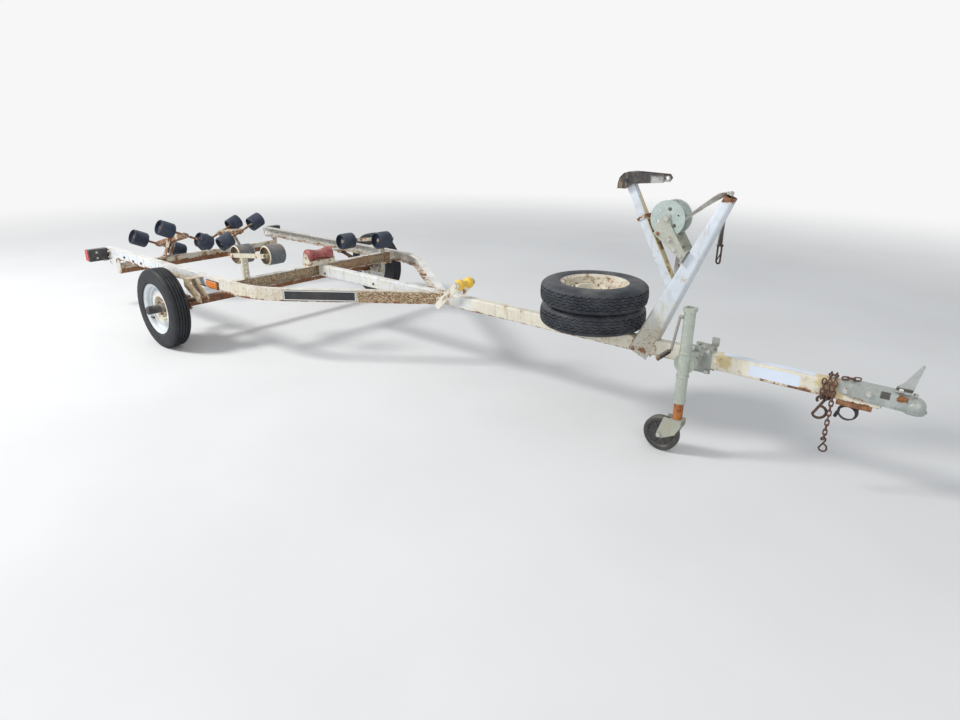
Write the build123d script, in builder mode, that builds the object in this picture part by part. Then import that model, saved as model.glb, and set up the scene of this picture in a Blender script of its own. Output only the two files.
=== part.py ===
# Single axle roller boat trailer, standing on its tongue jack.
# Millimetres. +X points forwards to the coupler, +Y to the left side, +Z up.
# The origin is on the ground, under the middle of the whole trailer.

from math import atan2, cos, pi, radians, sin, sqrt, tan

import os

from build123d import *

os.makedirs("parts", exist_ok=True)

# Running gear
AXLE_X = -1344.5
TYRE_R = 265.0
TYRE_WIDTH = 118.0
RIM_R = 168.0
RIM_SEAT_R = 152.4
RIM_WIDTH = 102.0
RIM_WALL = 4.0
STUD_CIRCLE_R = 57.15
STUD_COUNT = 5
STUD_R = 6.35
STUD_HOLE_R = 7.0
AXLE_SIZE = 50.0
SPINDLE_R = 13.0
HUB_R = 32.0
DUST_CAP_R = 27.0
# Out from the rail to the spring, then out from the spring
SPRING_OUT = 75.0
AXLE_SHOULDER_OUT = 38.0
SPINDLE_OUT = 125.0
WHEEL_OUT = 136.0

# Along the tongue, each place ahead of the one before it
SPARE_AHEAD = 2700.0
SPARE_TO_POST = 279.0
POST_TO_JACK = 276.0
JACK_TO_FRONT = 745.0
FRONT_TO_BALL = 106.0
COUPLER_OVERLAP = 155.0

# Frame
FRAME_TOP = 475.0
FRAME_DEPTH = 76.0
TONGUE_WIDTH = 51.0
TONGUE_WALL = 4.0
RAIL_FLANGE = 45.0
RAIL_WALL = 5.0
RAIL_HALF_WIDTH = 725.0
RAIL_REAR_BEHIND = 1360.0
RAIL_STRAIGHT_AHEAD = 530.0
RAIL_BEND_R = 600.0
RAIL_BEND_ANGLE = 36.5
CROSS_AHEAD = 490.0
CROSS_FLANGE = 38.0
CROSS_WALL = 5.0
REAR_CROSS_BEHIND = 1190.0
REAR_CROSS_DROP = 40.0

# Values that follow from them
FRAME_BOTTOM = FRAME_TOP - FRAME_DEPTH
FRAME_MID = FRAME_TOP - FRAME_DEPTH / 2
AXLE_Z = TYRE_R
TONGUE_SIDE = TONGUE_WIDTH / 2
SPARE_X = AXLE_X + SPARE_AHEAD
WINCH_POST_X = SPARE_X + SPARE_TO_POST
JACK_X = WINCH_POST_X + POST_TO_JACK
TONGUE_FRONT_X = JACK_X + JACK_TO_FRONT
BALL_X = TONGUE_FRONT_X + FRONT_TO_BALL
COUPLER_REAR_X = TONGUE_FRONT_X - COUPLER_OVERLAP
SPRING_Y = RAIL_HALF_WIDTH + SPRING_OUT
WHEEL_Y = SPRING_Y + WHEEL_OUT
CROSS_X = AXLE_X + CROSS_AHEAD
REAR_CROSS_X = AXLE_X - REAR_CROSS_BEHIND
REAR_CROSS_TOP = FRAME_BOTTOM - REAR_CROSS_DROP
RAIL_REAR_X = AXLE_X - RAIL_REAR_BEHIND
RAIL_BEND_X = AXLE_X + RAIL_STRAIGHT_AHEAD

# Clearances
RUNNING_GAP = 0.3
SEAT_GAP = 0.3

# Each side of the trailer: its name and the sign of Y
SIDES = (("right", -1), ("left", 1))

# Tongue: a rectangular tube, open at its front end
with BuildPart() as tongue:
    with BuildSketch(Plane.YZ.offset(CROSS_X)):
        with Locations((0, FRAME_MID)):
            RectangleRounded(TONGUE_WIDTH, FRAME_DEPTH, 8)
            RectangleRounded(
                TONGUE_WIDTH - 2 * TONGUE_WALL,
                FRAME_DEPTH - 2 * TONGUE_WALL,
                4,
                mode=Mode.SUBTRACT,
            )
    extrude(amount=TONGUE_FRONT_X - CROSS_X)
tongue.part.label = "tongue"
export_step(tongue.part, "parts/tongue.step")

# Side rails: channels that open inwards and bend in to the tongue
FENDER_HOLE_R = 5.5
FENDER_HOLE_SPACING = 150.0
FENDER_HOLES_BEHIND = 1080.0
RAIL_TURN = radians(RAIL_BEND_ANGLE)
RAIL_RUN = RAIL_HALF_WIDTH / sin(RAIL_TURN)
RAIL_BEND_IN = RAIL_BEND_R * (1 - cos(RAIL_TURN))
# Where the rails' outer faces meet the tongue
RAIL_JOINT_X = (
    RAIL_BEND_X
    + RAIL_BEND_R * sin(RAIL_TURN)
    + (RAIL_HALF_WIDTH - RAIL_BEND_IN - TONGUE_SIDE) / tan(RAIL_TURN)
)
for side, sign in SIDES:
    bend_centre_y = sign * (RAIL_HALF_WIDTH - RAIL_BEND_R)
    bend_mid = (
        RAIL_BEND_X + RAIL_BEND_R * sin(RAIL_TURN / 2),
        bend_centre_y + sign * RAIL_BEND_R * cos(RAIL_TURN / 2),
        FRAME_MID,
    )
    bend_end = (
        RAIL_BEND_X + RAIL_BEND_R * sin(RAIL_TURN),
        bend_centre_y + sign * RAIL_BEND_R * cos(RAIL_TURN),
        FRAME_MID,
    )
    rail_end = (
        bend_end[0] + RAIL_RUN * cos(RAIL_TURN),
        bend_end[1] - sign * RAIL_RUN * sin(RAIL_TURN),
        FRAME_MID,
    )
    with BuildPart() as rail:
        with BuildLine() as rail_path:
            straight = Line(
                (RAIL_REAR_X, sign * RAIL_HALF_WIDTH, FRAME_MID),
                (RAIL_BEND_X, sign * RAIL_HALF_WIDTH, FRAME_MID),
            )
            ThreePointArc(straight @ 1, bend_mid, bend_end)
            Line(bend_end, rail_end)
        with BuildSketch(Plane.YZ.offset(RAIL_REAR_X)):
            with Locations((sign * (RAIL_HALF_WIDTH - RAIL_FLANGE / 2), FRAME_MID)):
                Rectangle(RAIL_FLANGE, FRAME_DEPTH)
            with Locations((sign * (RAIL_HALF_WIDTH - RAIL_WALL - RAIL_FLANGE / 2), FRAME_MID)):
                Rectangle(RAIL_FLANGE, FRAME_DEPTH - 2 * RAIL_WALL, mode=Mode.SUBTRACT)
        sweep(path=rail_path.line)
        split(
            bisect_by=Plane(origin=(0, sign * TONGUE_SIDE, 0), z_dir=(0, sign, 0)),
            keep=Keep.TOP,
        )
        fender_hole_x = AXLE_X - FENDER_HOLES_BEHIND
        hole_origin = (fender_hole_x, sign * RAIL_HALF_WIDTH, FRAME_MID)
        with Locations(Plane(origin=hole_origin, x_dir=(1, 0, 0), z_dir=(0, sign, 0))):
            with GridLocations(FENDER_HOLE_SPACING, 1, 2, 1):
                Hole(FENDER_HOLE_R, depth=RAIL_WALL * 2)
    rail.part.label = f"rail_{side}"
    export_step(rail.part, f"parts/rail_{side}.step")

# Front cross member: a channel that opens forwards, between the two rails
CROSS_HALF = RAIL_HALF_WIDTH - RAIL_FLANGE
with BuildPart() as front_cross_member:
    with BuildSketch(Plane.XZ):
        with Locations((CROSS_X - CROSS_FLANGE / 2, FRAME_MID)):
            Rectangle(CROSS_FLANGE, FRAME_DEPTH)
        with Locations((CROSS_X - CROSS_FLANGE / 2 + CROSS_WALL, FRAME_MID)):
            Rectangle(CROSS_FLANGE, FRAME_DEPTH - 2 * CROSS_WALL, mode=Mode.SUBTRACT)
    extrude(amount=CROSS_HALF, both=True)
front_cross_member.part.label = "front_cross_member"
export_step(front_cross_member.part, "parts/front_cross_member.step")

# Rear cross member: a channel hung below the rails on two brackets
REAR_CROSS_FLANGE = 40.0
HANGER_PLATE = 6.0
HANGER_PLATE_WIDTH = 64.0
HANGER_FLANGE = 34.0
REAR_CROSS_HALF = RAIL_HALF_WIDTH - 8 - HANGER_PLATE
REAR_CROSS_BOTTOM = REAR_CROSS_TOP - FRAME_DEPTH
with BuildPart() as rear_cross_member:
    with BuildSketch(Plane.XZ):
        with Locations((REAR_CROSS_X, REAR_CROSS_TOP - FRAME_DEPTH / 2)):
            Rectangle(REAR_CROSS_FLANGE, FRAME_DEPTH)
        with Locations((REAR_CROSS_X - CROSS_WALL, REAR_CROSS_TOP - FRAME_DEPTH / 2)):
            Rectangle(REAR_CROSS_FLANGE, FRAME_DEPTH - 2 * CROSS_WALL, mode=Mode.SUBTRACT)
    extrude(amount=REAR_CROSS_HALF, both=True)
rear_cross_member.part.label = "rear_cross_member"
export_step(rear_cross_member.part, "parts/rear_cross_member.step")
plate_height = FRAME_BOTTOM - REAR_CROSS_BOTTOM
with BuildPart() as rear_brackets:
    for side, sign in SIDES:
        with Locations((REAR_CROSS_X, sign * (REAR_CROSS_HALF + HANGER_PLATE / 2), REAR_CROSS_BOTTOM)):
            Box(HANGER_PLATE_WIDTH, HANGER_PLATE, plate_height, align=(Align.CENTER, Align.CENTER, Align.MIN))
        with Locations((REAR_CROSS_X, sign * (REAR_CROSS_HALF + HANGER_PLATE - HANGER_FLANGE / 2), FRAME_BOTTOM)):
            Box(HANGER_PLATE_WIDTH, HANGER_FLANGE, HANGER_PLATE, align=(Align.CENTER, Align.CENTER, Align.MAX))
rear_brackets.part.label = "rear_brackets"
export_step(rear_brackets.part, "parts/rear_brackets.step")

# Axle: a square beam with a round spindle at each end
AXLE_HALF = SPRING_Y + AXLE_SHOULDER_OUT
SPINDLE_END = SPRING_Y + SPINDLE_OUT
with BuildPart() as axle:
    with BuildSketch(Plane.XZ):
        with Locations((AXLE_X, AXLE_Z)):
            RectangleRounded(AXLE_SIZE, AXLE_SIZE, 7)
    extrude(amount=AXLE_HALF, both=True)
    with BuildSketch(Plane.XZ):
        with Locations((AXLE_X, AXLE_Z)):
            Circle(SPINDLE_R)
    extrude(amount=SPINDLE_END, both=True)
axle.part.label = "axle"
export_step(axle.part, "parts/axle.step")

# Leaf springs: three leaves on the axle, an eye in front and a slipper end behind
LEAF_WIDTH = 44.0
LEAF_THICK = 7.0
SPRING_ARCH_R = 900.0
EYE_AHEAD = 285.0
EYE_R = 15.0
EYE_BOLT_R = 7.0
SLIPPER_BEHIND = 320.0
SPRING_SEAT_Z = AXLE_Z + AXLE_SIZE / 2
# Half length of each leaf, from the main leaf on top to the short one on the axle
LEAF_HALVES = (EYE_AHEAD, 190.0, 110.0)


def arch_rise(run):
    return SPRING_ARCH_R - sqrt(SPRING_ARCH_R**2 - run**2)


MAIN_LEAF_Z = SPRING_SEAT_Z + LEAF_THICK * len(LEAF_HALVES)
EYE_Z = MAIN_LEAF_Z + arch_rise(EYE_AHEAD) - EYE_R / 2
with BuildPart() as leaf_springs:
    for side, sign in SIDES:
        for row, half in enumerate(LEAF_HALVES):
            leaf_top = MAIN_LEAF_Z - row * LEAF_THICK
            rear_half = SLIPPER_BEHIND if row == 0 else half
            with BuildSketch(Plane.XZ.offset(-sign * SPRING_Y)):
                with BuildLine():
                    top = ThreePointArc(
                        (AXLE_X - rear_half, leaf_top + arch_rise(rear_half)),
                        (AXLE_X, leaf_top),
                        (AXLE_X + half, leaf_top + arch_rise(half)),
                    )
                    bottom = ThreePointArc(
                        (AXLE_X + half, leaf_top + arch_rise(half) - LEAF_THICK),
                        (AXLE_X, leaf_top - LEAF_THICK),
                        (AXLE_X - rear_half, leaf_top + arch_rise(rear_half) - LEAF_THICK),
                    )
                    Line(top @ 1, bottom @ 0)
                    Line(bottom @ 1, top @ 0)
                make_face()
            extrude(amount=LEAF_WIDTH / 2, both=True)
        with BuildSketch(Plane.XZ.offset(-sign * SPRING_Y)):
            with Locations((AXLE_X + EYE_AHEAD, EYE_Z)):
                Circle(EYE_R)
        extrude(amount=LEAF_WIDTH / 2, both=True)
        with BuildSketch(Plane.XZ.offset(-sign * SPRING_Y)):
            with Locations((AXLE_X + EYE_AHEAD, EYE_Z)):
                Circle(EYE_BOLT_R + SEAT_GAP)
        extrude(amount=LEAF_WIDTH, both=True, mode=Mode.SUBTRACT)
leaf_springs.part.label = "leaf_springs"
export_step(leaf_springs.part, "parts/leaf_springs.step")

# Spring clamps: a plate on the leaves, a plate under the axle and two U bolts
CLAMP_PLATE = 7.0
CLAMP_LENGTH = 92.0
CLAMP_WIDTH = 76.0
U_BOLT_R = 5.0
with BuildPart() as spring_clamps:
    for side, sign in SIDES:
        clamp_top = MAIN_LEAF_Z + arch_rise(CLAMP_LENGTH / 2)
        clamp_bottom = AXLE_Z - AXLE_SIZE / 2
        with Locations((AXLE_X, sign * SPRING_Y, clamp_top)):
            Box(CLAMP_LENGTH, CLAMP_WIDTH, CLAMP_PLATE, align=(Align.CENTER, Align.CENTER, Align.MIN))
        with Locations((AXLE_X, sign * SPRING_Y, clamp_bottom)):
            Box(CLAMP_LENGTH, CLAMP_WIDTH, CLAMP_PLATE, align=(Align.CENTER, Align.CENTER, Align.MAX))
        bolt_height = clamp_top - clamp_bottom + 2 * CLAMP_PLATE + 12
        with Locations((AXLE_X, sign * SPRING_Y, clamp_bottom - CLAMP_PLATE - 8)):
            with GridLocations(AXLE_SIZE + 2 * U_BOLT_R + 2, LEAF_WIDTH + 2 * U_BOLT_R + 2, 2, 2):
                Cylinder(U_BOLT_R, bolt_height, align=(Align.CENTER, Align.CENTER, Align.MIN))
spring_clamps.part.label = "spring_clamps"
export_step(spring_clamps.part, "parts/spring_clamps.step")

# Spring hangers: a raked two-cheek bracket in front, a slipper box behind
HANGER_WALL = 5.0
HANGER_INNER = LEAF_WIDTH + 2
FRONT_HANGER_TOP_AHEAD = 110.0
FRONT_HANGER_LEG = 58.0
REAR_HANGER_LENGTH = 60.0
with BuildPart() as spring_hangers:
    for side, sign in SIDES:
        outer_y = SPRING_Y + HANGER_INNER / 2 + HANGER_WALL
        # Front bracket: two raked cheeks and the bolt through the spring eye
        for cheek_y in (SPRING_Y - HANGER_INNER / 2 - HANGER_WALL, SPRING_Y + HANGER_INNER / 2):
            with BuildSketch(Plane.XZ.offset(-sign * (cheek_y + HANGER_WALL / 2))):
                with BuildLine():
                    Polyline(
                        (AXLE_X + FRONT_HANGER_TOP_AHEAD, FRAME_TOP - 12),
                        (AXLE_X + FRONT_HANGER_TOP_AHEAD + FRONT_HANGER_LEG, FRAME_TOP - 12),
                        (AXLE_X + EYE_AHEAD + 24, EYE_Z + 10),
                        (AXLE_X + EYE_AHEAD + 24, EYE_Z - 22),
                        (AXLE_X + EYE_AHEAD - 20, EYE_Z - 22),
                        (AXLE_X + FRONT_HANGER_TOP_AHEAD, FRAME_BOTTOM + 8),
                        close=True,
                    )
                make_face()
            extrude(amount=HANGER_WALL / 2, both=True)
        with Locations((AXLE_X + EYE_AHEAD, sign * SPRING_Y, EYE_Z)):
            Cylinder(EYE_BOLT_R, HANGER_INNER + 2 * HANGER_WALL + 14, rotation=(90, 0, 0))
        web_length = FRONT_HANGER_LEG
        web_width = outer_y - RAIL_HALF_WIDTH
        with Locations((AXLE_X + FRONT_HANGER_TOP_AHEAD, sign * RAIL_HALF_WIDTH, FRAME_TOP - 12)):
            Box(
                web_length,
                web_width,
                HANGER_WALL,
                align=(Align.MIN, Align.MIN if sign > 0 else Align.MAX, Align.MAX),
            )
        # Rear bracket: a box that the spring end slides in
        slipper_z = MAIN_LEAF_Z + arch_rise(SLIPPER_BEHIND)
        rear_x = AXLE_X - SLIPPER_BEHIND + 22
        for cheek_y in (SPRING_Y - HANGER_INNER / 2 - HANGER_WALL, SPRING_Y + HANGER_INNER / 2):
            with Locations((rear_x, sign * (cheek_y + HANGER_WALL / 2), slipper_z - 26)):
                Box(
                    REAR_HANGER_LENGTH,
                    HANGER_WALL,
                    FRAME_TOP - 12 - slipper_z + 26,
                    align=(Align.CENTER, Align.CENTER, Align.MIN),
                )
        with Locations((rear_x, sign * RAIL_HALF_WIDTH, slipper_z + SEAT_GAP)):
            Box(
                REAR_HANGER_LENGTH,
                web_width,
                HANGER_WALL,
                align=(Align.CENTER, Align.MIN if sign > 0 else Align.MAX, Align.MIN),
            )
        with Locations((rear_x - 12, sign * SPRING_Y, slipper_z - 20)):
            Cylinder(5, HANGER_INNER + 2 * HANGER_WALL + 10, rotation=(90, 0, 0))
spring_hangers.part.label = "spring_hangers"
export_step(spring_hangers.part, "parts/spring_hangers.step")

# Wheel sections, as radius and distance towards the outer face from the wheel's middle plane
TREAD_HALF = 44.0
SHOULDER_R = TYRE_R - 9
BEAD_R = RIM_SEAT_R + 0.3
RIM_HALF = RIM_WIDTH / 2
LIP_R = RIM_R + 0.3
BEAD_OUT = RIM_HALF - RIM_WALL - 0.4
BEAD_IN = RIM_HALF - 13 - 0.4
DISC_SET = 6.0
DISC_HUB_SET = -6.0
HUB_FACE = DISC_HUB_SET - RIM_WALL


def wheel_plane(origin, outward):
    return Plane(origin=origin, x_dir=(1, 0, 0) if abs(outward[0]) < 0.5 else (0, 0, 1), z_dir=Vector(outward))


def tyre_solid(origin, outward):
    hub_plane = wheel_plane(origin, outward)
    section_plane = Plane(origin=origin, x_dir=hub_plane.x_dir, z_dir=hub_plane.x_dir.cross(hub_plane.z_dir))
    half = TYRE_WIDTH / 2
    with BuildPart() as tyre:
        with BuildSketch(section_plane):
            with BuildLine():
                tread = Line((TYRE_R, -TREAD_HALF), (TYRE_R, TREAD_HALF))
                upper = Line(tread @ 1, (SHOULDER_R, TREAD_HALF + 9))
                wall_top = ThreePointArc(upper @ 1, (SHOULDER_R - 42, half), (LIP_R, RIM_HALF + 1))
                Polyline(
                    wall_top @ 1,
                    (LIP_R, BEAD_OUT),
                    (BEAD_R, BEAD_IN),
                    (BEAD_R, -BEAD_IN),
                    (LIP_R, -BEAD_OUT),
                    (LIP_R, -RIM_HALF - 1),
                )
                lower = ThreePointArc(
                    (LIP_R, -RIM_HALF - 1),
                    (SHOULDER_R - 42, -half),
                    (SHOULDER_R, -TREAD_HALF - 9),
                )
                Line(lower @ 1, tread @ 0)
            make_face()
        revolve(axis=Axis(origin, outward))
    return tyre.part


def rim_solid(origin, outward):
    hub_plane = wheel_plane(origin, outward)
    section_plane = Plane(origin=origin, x_dir=hub_plane.x_dir, z_dir=hub_plane.x_dir.cross(hub_plane.z_dir))
    with BuildPart() as rim:
        with BuildSketch(section_plane):
            with BuildLine():
                Polyline(
                    (RIM_R, RIM_HALF),
                    (RIM_R, RIM_HALF - RIM_WALL),
                    (RIM_SEAT_R, RIM_HALF - 13),
                    (RIM_SEAT_R, 20),
                    (RIM_SEAT_R - 14, 14),
                    (RIM_SEAT_R - 14, -14),
                    (RIM_SEAT_R, -20),
                    (RIM_SEAT_R, -RIM_HALF + 13),
                    (RIM_R, -RIM_HALF + RIM_WALL),
                    (RIM_R, -RIM_HALF),
                    (RIM_SEAT_R - RIM_WALL, -RIM_HALF + 11),
                    (RIM_SEAT_R - RIM_WALL, -23),
                    (RIM_SEAT_R - 14 - RIM_WALL, -17),
                    (RIM_SEAT_R - 14 - RIM_WALL, DISC_SET - RIM_WALL),
                    (110, DISC_SET + 12 - RIM_WALL),
                    (84, DISC_SET + 14 - RIM_WALL),
                    (76, DISC_HUB_SET - RIM_WALL),
                    (HUB_R, DISC_HUB_SET - RIM_WALL),
                    (HUB_R, DISC_HUB_SET),
                    (72, DISC_HUB_SET),
                    (80, DISC_SET + 14),
                    (110, DISC_SET + 12),
                    (RIM_SEAT_R - 14 - RIM_WALL, DISC_SET + 3),
                    (RIM_SEAT_R - 14 - RIM_WALL, 17),
                    (RIM_SEAT_R - RIM_WALL, 23),
                    (RIM_SEAT_R - RIM_WALL, RIM_HALF - 11),
                    close=True,
                )
            make_face()
        revolve(axis=Axis(origin, outward))
        with Locations(hub_plane.offset(DISC_HUB_SET)):
            with PolarLocations(STUD_CIRCLE_R, STUD_COUNT, start_angle=90):
                Hole(STUD_HOLE_R, depth=2 * RIM_WALL)
    return rim.part


# Road wheels
for side, sign in SIDES:
    wheel_centre = (AXLE_X, sign * WHEEL_Y, AXLE_Z)
    outward = (0, sign, 0)
    tyre = tyre_solid(wheel_centre, outward)
    tyre.label = f"tyre_{side}"
    export_step(tyre, f"parts/tyre_{side}.step")
    rim = rim_solid(wheel_centre, outward)
    rim.label = f"rim_{side}"
    export_step(rim, f"parts/rim_{side}.step")

# Hubs: flange, five studs with their nuts, and the long black dust cap
HUB_FLANGE_R = 68.0
HUB_FLANGE = 9.0
HUB_BACK = 62.0
DUST_CAP_OUT = 108.0
DUST_CAP_NECK_R = 22.0
NUT_R = 11.0
NUT_HEIGHT = 14.0
for side, sign in SIDES:
    wheel_centre = (AXLE_X, sign * WHEEL_Y, AXLE_Z)
    outward = (0, sign, 0)
    hub_plane = wheel_plane(wheel_centre, outward)
    section_plane = Plane(origin=wheel_centre, x_dir=hub_plane.x_dir, z_dir=hub_plane.x_dir.cross(hub_plane.z_dir))
    with BuildPart() as hub:
        with BuildSketch(section_plane):
            with BuildLine():
                Polyline(
                    (0, DUST_CAP_OUT),
                    (DUST_CAP_R - 4, DUST_CAP_OUT),
                    (DUST_CAP_R, DUST_CAP_OUT - 5),
                    (DUST_CAP_R, 30),
                    (HUB_R - SEAT_GAP, 22),
                    (HUB_R - SEAT_GAP, HUB_FACE),
                    (HUB_FLANGE_R, HUB_FACE),
                    (HUB_FLANGE_R, HUB_FACE - HUB_FLANGE),
                    (HUB_R + 4, HUB_FACE - HUB_FLANGE - 4),
                    (HUB_R, -HUB_BACK),
                    (SPINDLE_R + RUNNING_GAP, -HUB_BACK),
                    (SPINDLE_R + RUNNING_GAP, 0),
                    (0, 0),
                    close=True,
                )
            make_face()
        revolve(axis=Axis(wheel_centre, outward))
        with BuildSketch(hub_plane.offset(HUB_FACE - 1)):
            with PolarLocations(STUD_CIRCLE_R, STUD_COUNT, start_angle=90):
                Circle(STUD_R)
        extrude(amount=RIM_WALL + NUT_HEIGHT + 7)
        with BuildSketch(hub_plane.offset(DISC_HUB_SET)):
            with PolarLocations(STUD_CIRCLE_R, STUD_COUNT, start_angle=90):
                RegularPolygon(NUT_R, 6)
        extrude(amount=NUT_HEIGHT)
    hub.part.label = f"hub_{side}"
    export_step(hub.part, f"parts/hub_{side}.step")

# Spare wheels: two, stacked flat on the tongue
SPARE_GAP = 0.6
# Each spare: how far it is off the middle, in X and Y
SPARE_SHIFTS = ((-10.0, 12.0), (8.0, -18.0))
SPARE_PITCH = TYRE_WIDTH + SPARE_GAP
spare_planes = [
    (SPARE_X + shift_x, shift_y, FRAME_TOP + SEAT_GAP + TYRE_WIDTH / 2 + row * SPARE_PITCH)
    for row, (shift_x, shift_y) in enumerate(SPARE_SHIFTS)
]
with BuildPart() as spare_tyres:
    add([tyre_solid(place, (0, 0, 1)) for place in spare_planes])
spare_tyres.part.label = "spare_tyres"
export_step(spare_tyres.part, "parts/spare_tyres.step")
with BuildPart() as spare_rims:
    add([rim_solid(place, (0, 0, 1)) for place in spare_planes])
spare_rims.part.label = "spare_rims"
export_step(spare_rims.part, "parts/spare_rims.step")

# Rubber rollers with hollow ends
ROLLER_R = 62.0
ROLLER_LENGTH = 116.0
ROLLER_RECESS = 24.0
ROLLER_RIM = 12.0
SHAFT_R = 9.5
ROLLER_END_GAP = 6.0


def roller_solid(origin, along, radius=ROLLER_R, length=ROLLER_LENGTH):
    shaft = Vector(along).normalized()
    radial = Vector(1, 0, 0)
    if abs(shaft.X) > 0.5:
        radial = Vector(0, 1, 0)
    across = (radial - shaft * radial.dot(shaft)).normalized()
    half = length / 2
    with BuildPart() as roller:
        with BuildSketch(Plane(origin=origin, x_dir=across, z_dir=across.cross(shaft))):
            with BuildLine():
                Polyline(
                    (SHAFT_R + RUNNING_GAP, -half + ROLLER_RECESS),
                    (radius - ROLLER_RIM, -half + ROLLER_RECESS),
                    (radius - ROLLER_RIM + 3, -half),
                    (radius - 5, -half),
                    (radius - 1, -half + 5),
                    (radius, 0),
                    (radius - 1, half - 5),
                    (radius - 5, half),
                    (radius - ROLLER_RIM + 3, half),
                    (radius - ROLLER_RIM, half - ROLLER_RECESS),
                    (SHAFT_R + RUNNING_GAP, half - ROLLER_RECESS),
                    close=True,
                )
            make_face()
        revolve(axis=Axis(origin, shaft))
    return roller.part


# Middle roller supports: a punched post on the cross member, a fore and aft bar on top
MID_POST_IN = 140.0
MID_POST_Y = RAIL_HALF_WIDTH - MID_POST_IN
MID_POST_WIDTH = 40.0
MID_POST_DEPTH = 22.0
MID_POST_WALL = 4.0
MID_BAR = 25.0
MID_BAR_WALL = 3.0
MID_BAR_END = 30.0
POST_HOLE_R = 5.0
POST_HOLE_PITCH = 26.0
POST_HOLE_START = 18.0
MID_POST_X = CROSS_X - CROSS_FLANGE / 2
WASHER_R = 15.0
WASHER = 3.0
# Each side: the bar's middle ahead of its post, its height and its tilt, nose up,
# and the distance between its two rollers
MID_BARS = (("right", -1, 38.0, 626.0, 6.5, 360.0), ("left", 1, -115.0, 562.0, 7.7, 430.0))
mid_roller_y = MID_POST_Y - MID_BAR / 2 - ROLLER_END_GAP - ROLLER_LENGTH / 2
with BuildPart() as mid_supports:
    for side, sign, bar_shift, bar_z, bar_tilt, spacing in MID_BARS:
        lean = radians(bar_tilt)
        bar_dir = Vector(cos(lean), 0, sin(lean))
        bar_middle = Vector(MID_POST_X + bar_shift, sign * MID_POST_Y, bar_z)
        post_top = bar_z - bar_shift * tan(lean) - MID_BAR / 2 / cos(lean) + MID_POST_DEPTH / 2 * tan(lean)
        with BuildSketch(Plane.XY.offset(FRAME_TOP)):
            with Locations((MID_POST_X, sign * MID_POST_Y)):
                Rectangle(MID_POST_DEPTH, MID_POST_WIDTH)
            with Locations((MID_POST_X - MID_POST_WALL, sign * MID_POST_Y)):
                Rectangle(MID_POST_DEPTH, MID_POST_WIDTH - 2 * MID_POST_WALL, mode=Mode.SUBTRACT)
        extrude(amount=post_top - FRAME_TOP)
        hole_rows = int((post_top - FRAME_TOP - 2 * POST_HOLE_START) / POST_HOLE_PITCH) + 1
        for step in range(hole_rows):
            hole_z = FRAME_TOP + POST_HOLE_START + POST_HOLE_PITCH * step
            with Locations((MID_POST_X + MID_POST_DEPTH / 2 - MID_POST_WALL / 2, sign * MID_POST_Y, hole_z)):
                Cylinder(POST_HOLE_R, MID_POST_WALL * 2, rotation=(0, 90, 0), mode=Mode.SUBTRACT)
        bar_length = spacing + 2 * MID_BAR_END
        with Locations(Location(tuple(bar_middle), (0, -bar_tilt, 0))):
            Box(bar_length, MID_BAR, MID_BAR)
            Box(bar_length + 2, MID_BAR - 2 * MID_BAR_WALL, MID_BAR - 2 * MID_BAR_WALL, mode=Mode.SUBTRACT)
        shaft_length = MID_BAR / 2 + ROLLER_END_GAP + ROLLER_LENGTH - ROLLER_RECESS + WASHER + 4
        washer_in = MID_POST_Y - mid_roller_y + ROLLER_LENGTH / 2 - ROLLER_RECESS + RUNNING_GAP
        for along in (-spacing / 2, spacing / 2):
            shaft_foot = bar_middle + bar_dir * along
            with BuildSketch(Plane(origin=shaft_foot, z_dir=(0, -sign, 0))):
                Circle(SHAFT_R)
            extrude(amount=shaft_length)
            with BuildSketch(Plane(origin=shaft_foot - Vector(0, sign * washer_in, 0), z_dir=(0, -sign, 0))):
                Circle(WASHER_R)
            extrude(amount=WASHER)
mid_supports.part.label = "mid_supports"
export_step(mid_supports.part, "parts/mid_supports.step")
for side, sign, bar_shift, bar_z, bar_tilt, spacing in MID_BARS:
    lean = radians(bar_tilt)
    for end, along in (("rear", -spacing / 2), ("front", spacing / 2)):
        roller_x = MID_POST_X + bar_shift + along * cos(lean)
        centre = (roller_x, sign * mid_roller_y, bar_z + along * sin(lean))
        mid_roller = roller_solid(centre, (0, 1, 0))
        mid_roller.label = f"mid_roller_{side}_{end}"
        export_step(mid_roller, f"parts/mid_roller_{side}_{end}.step")

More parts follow.
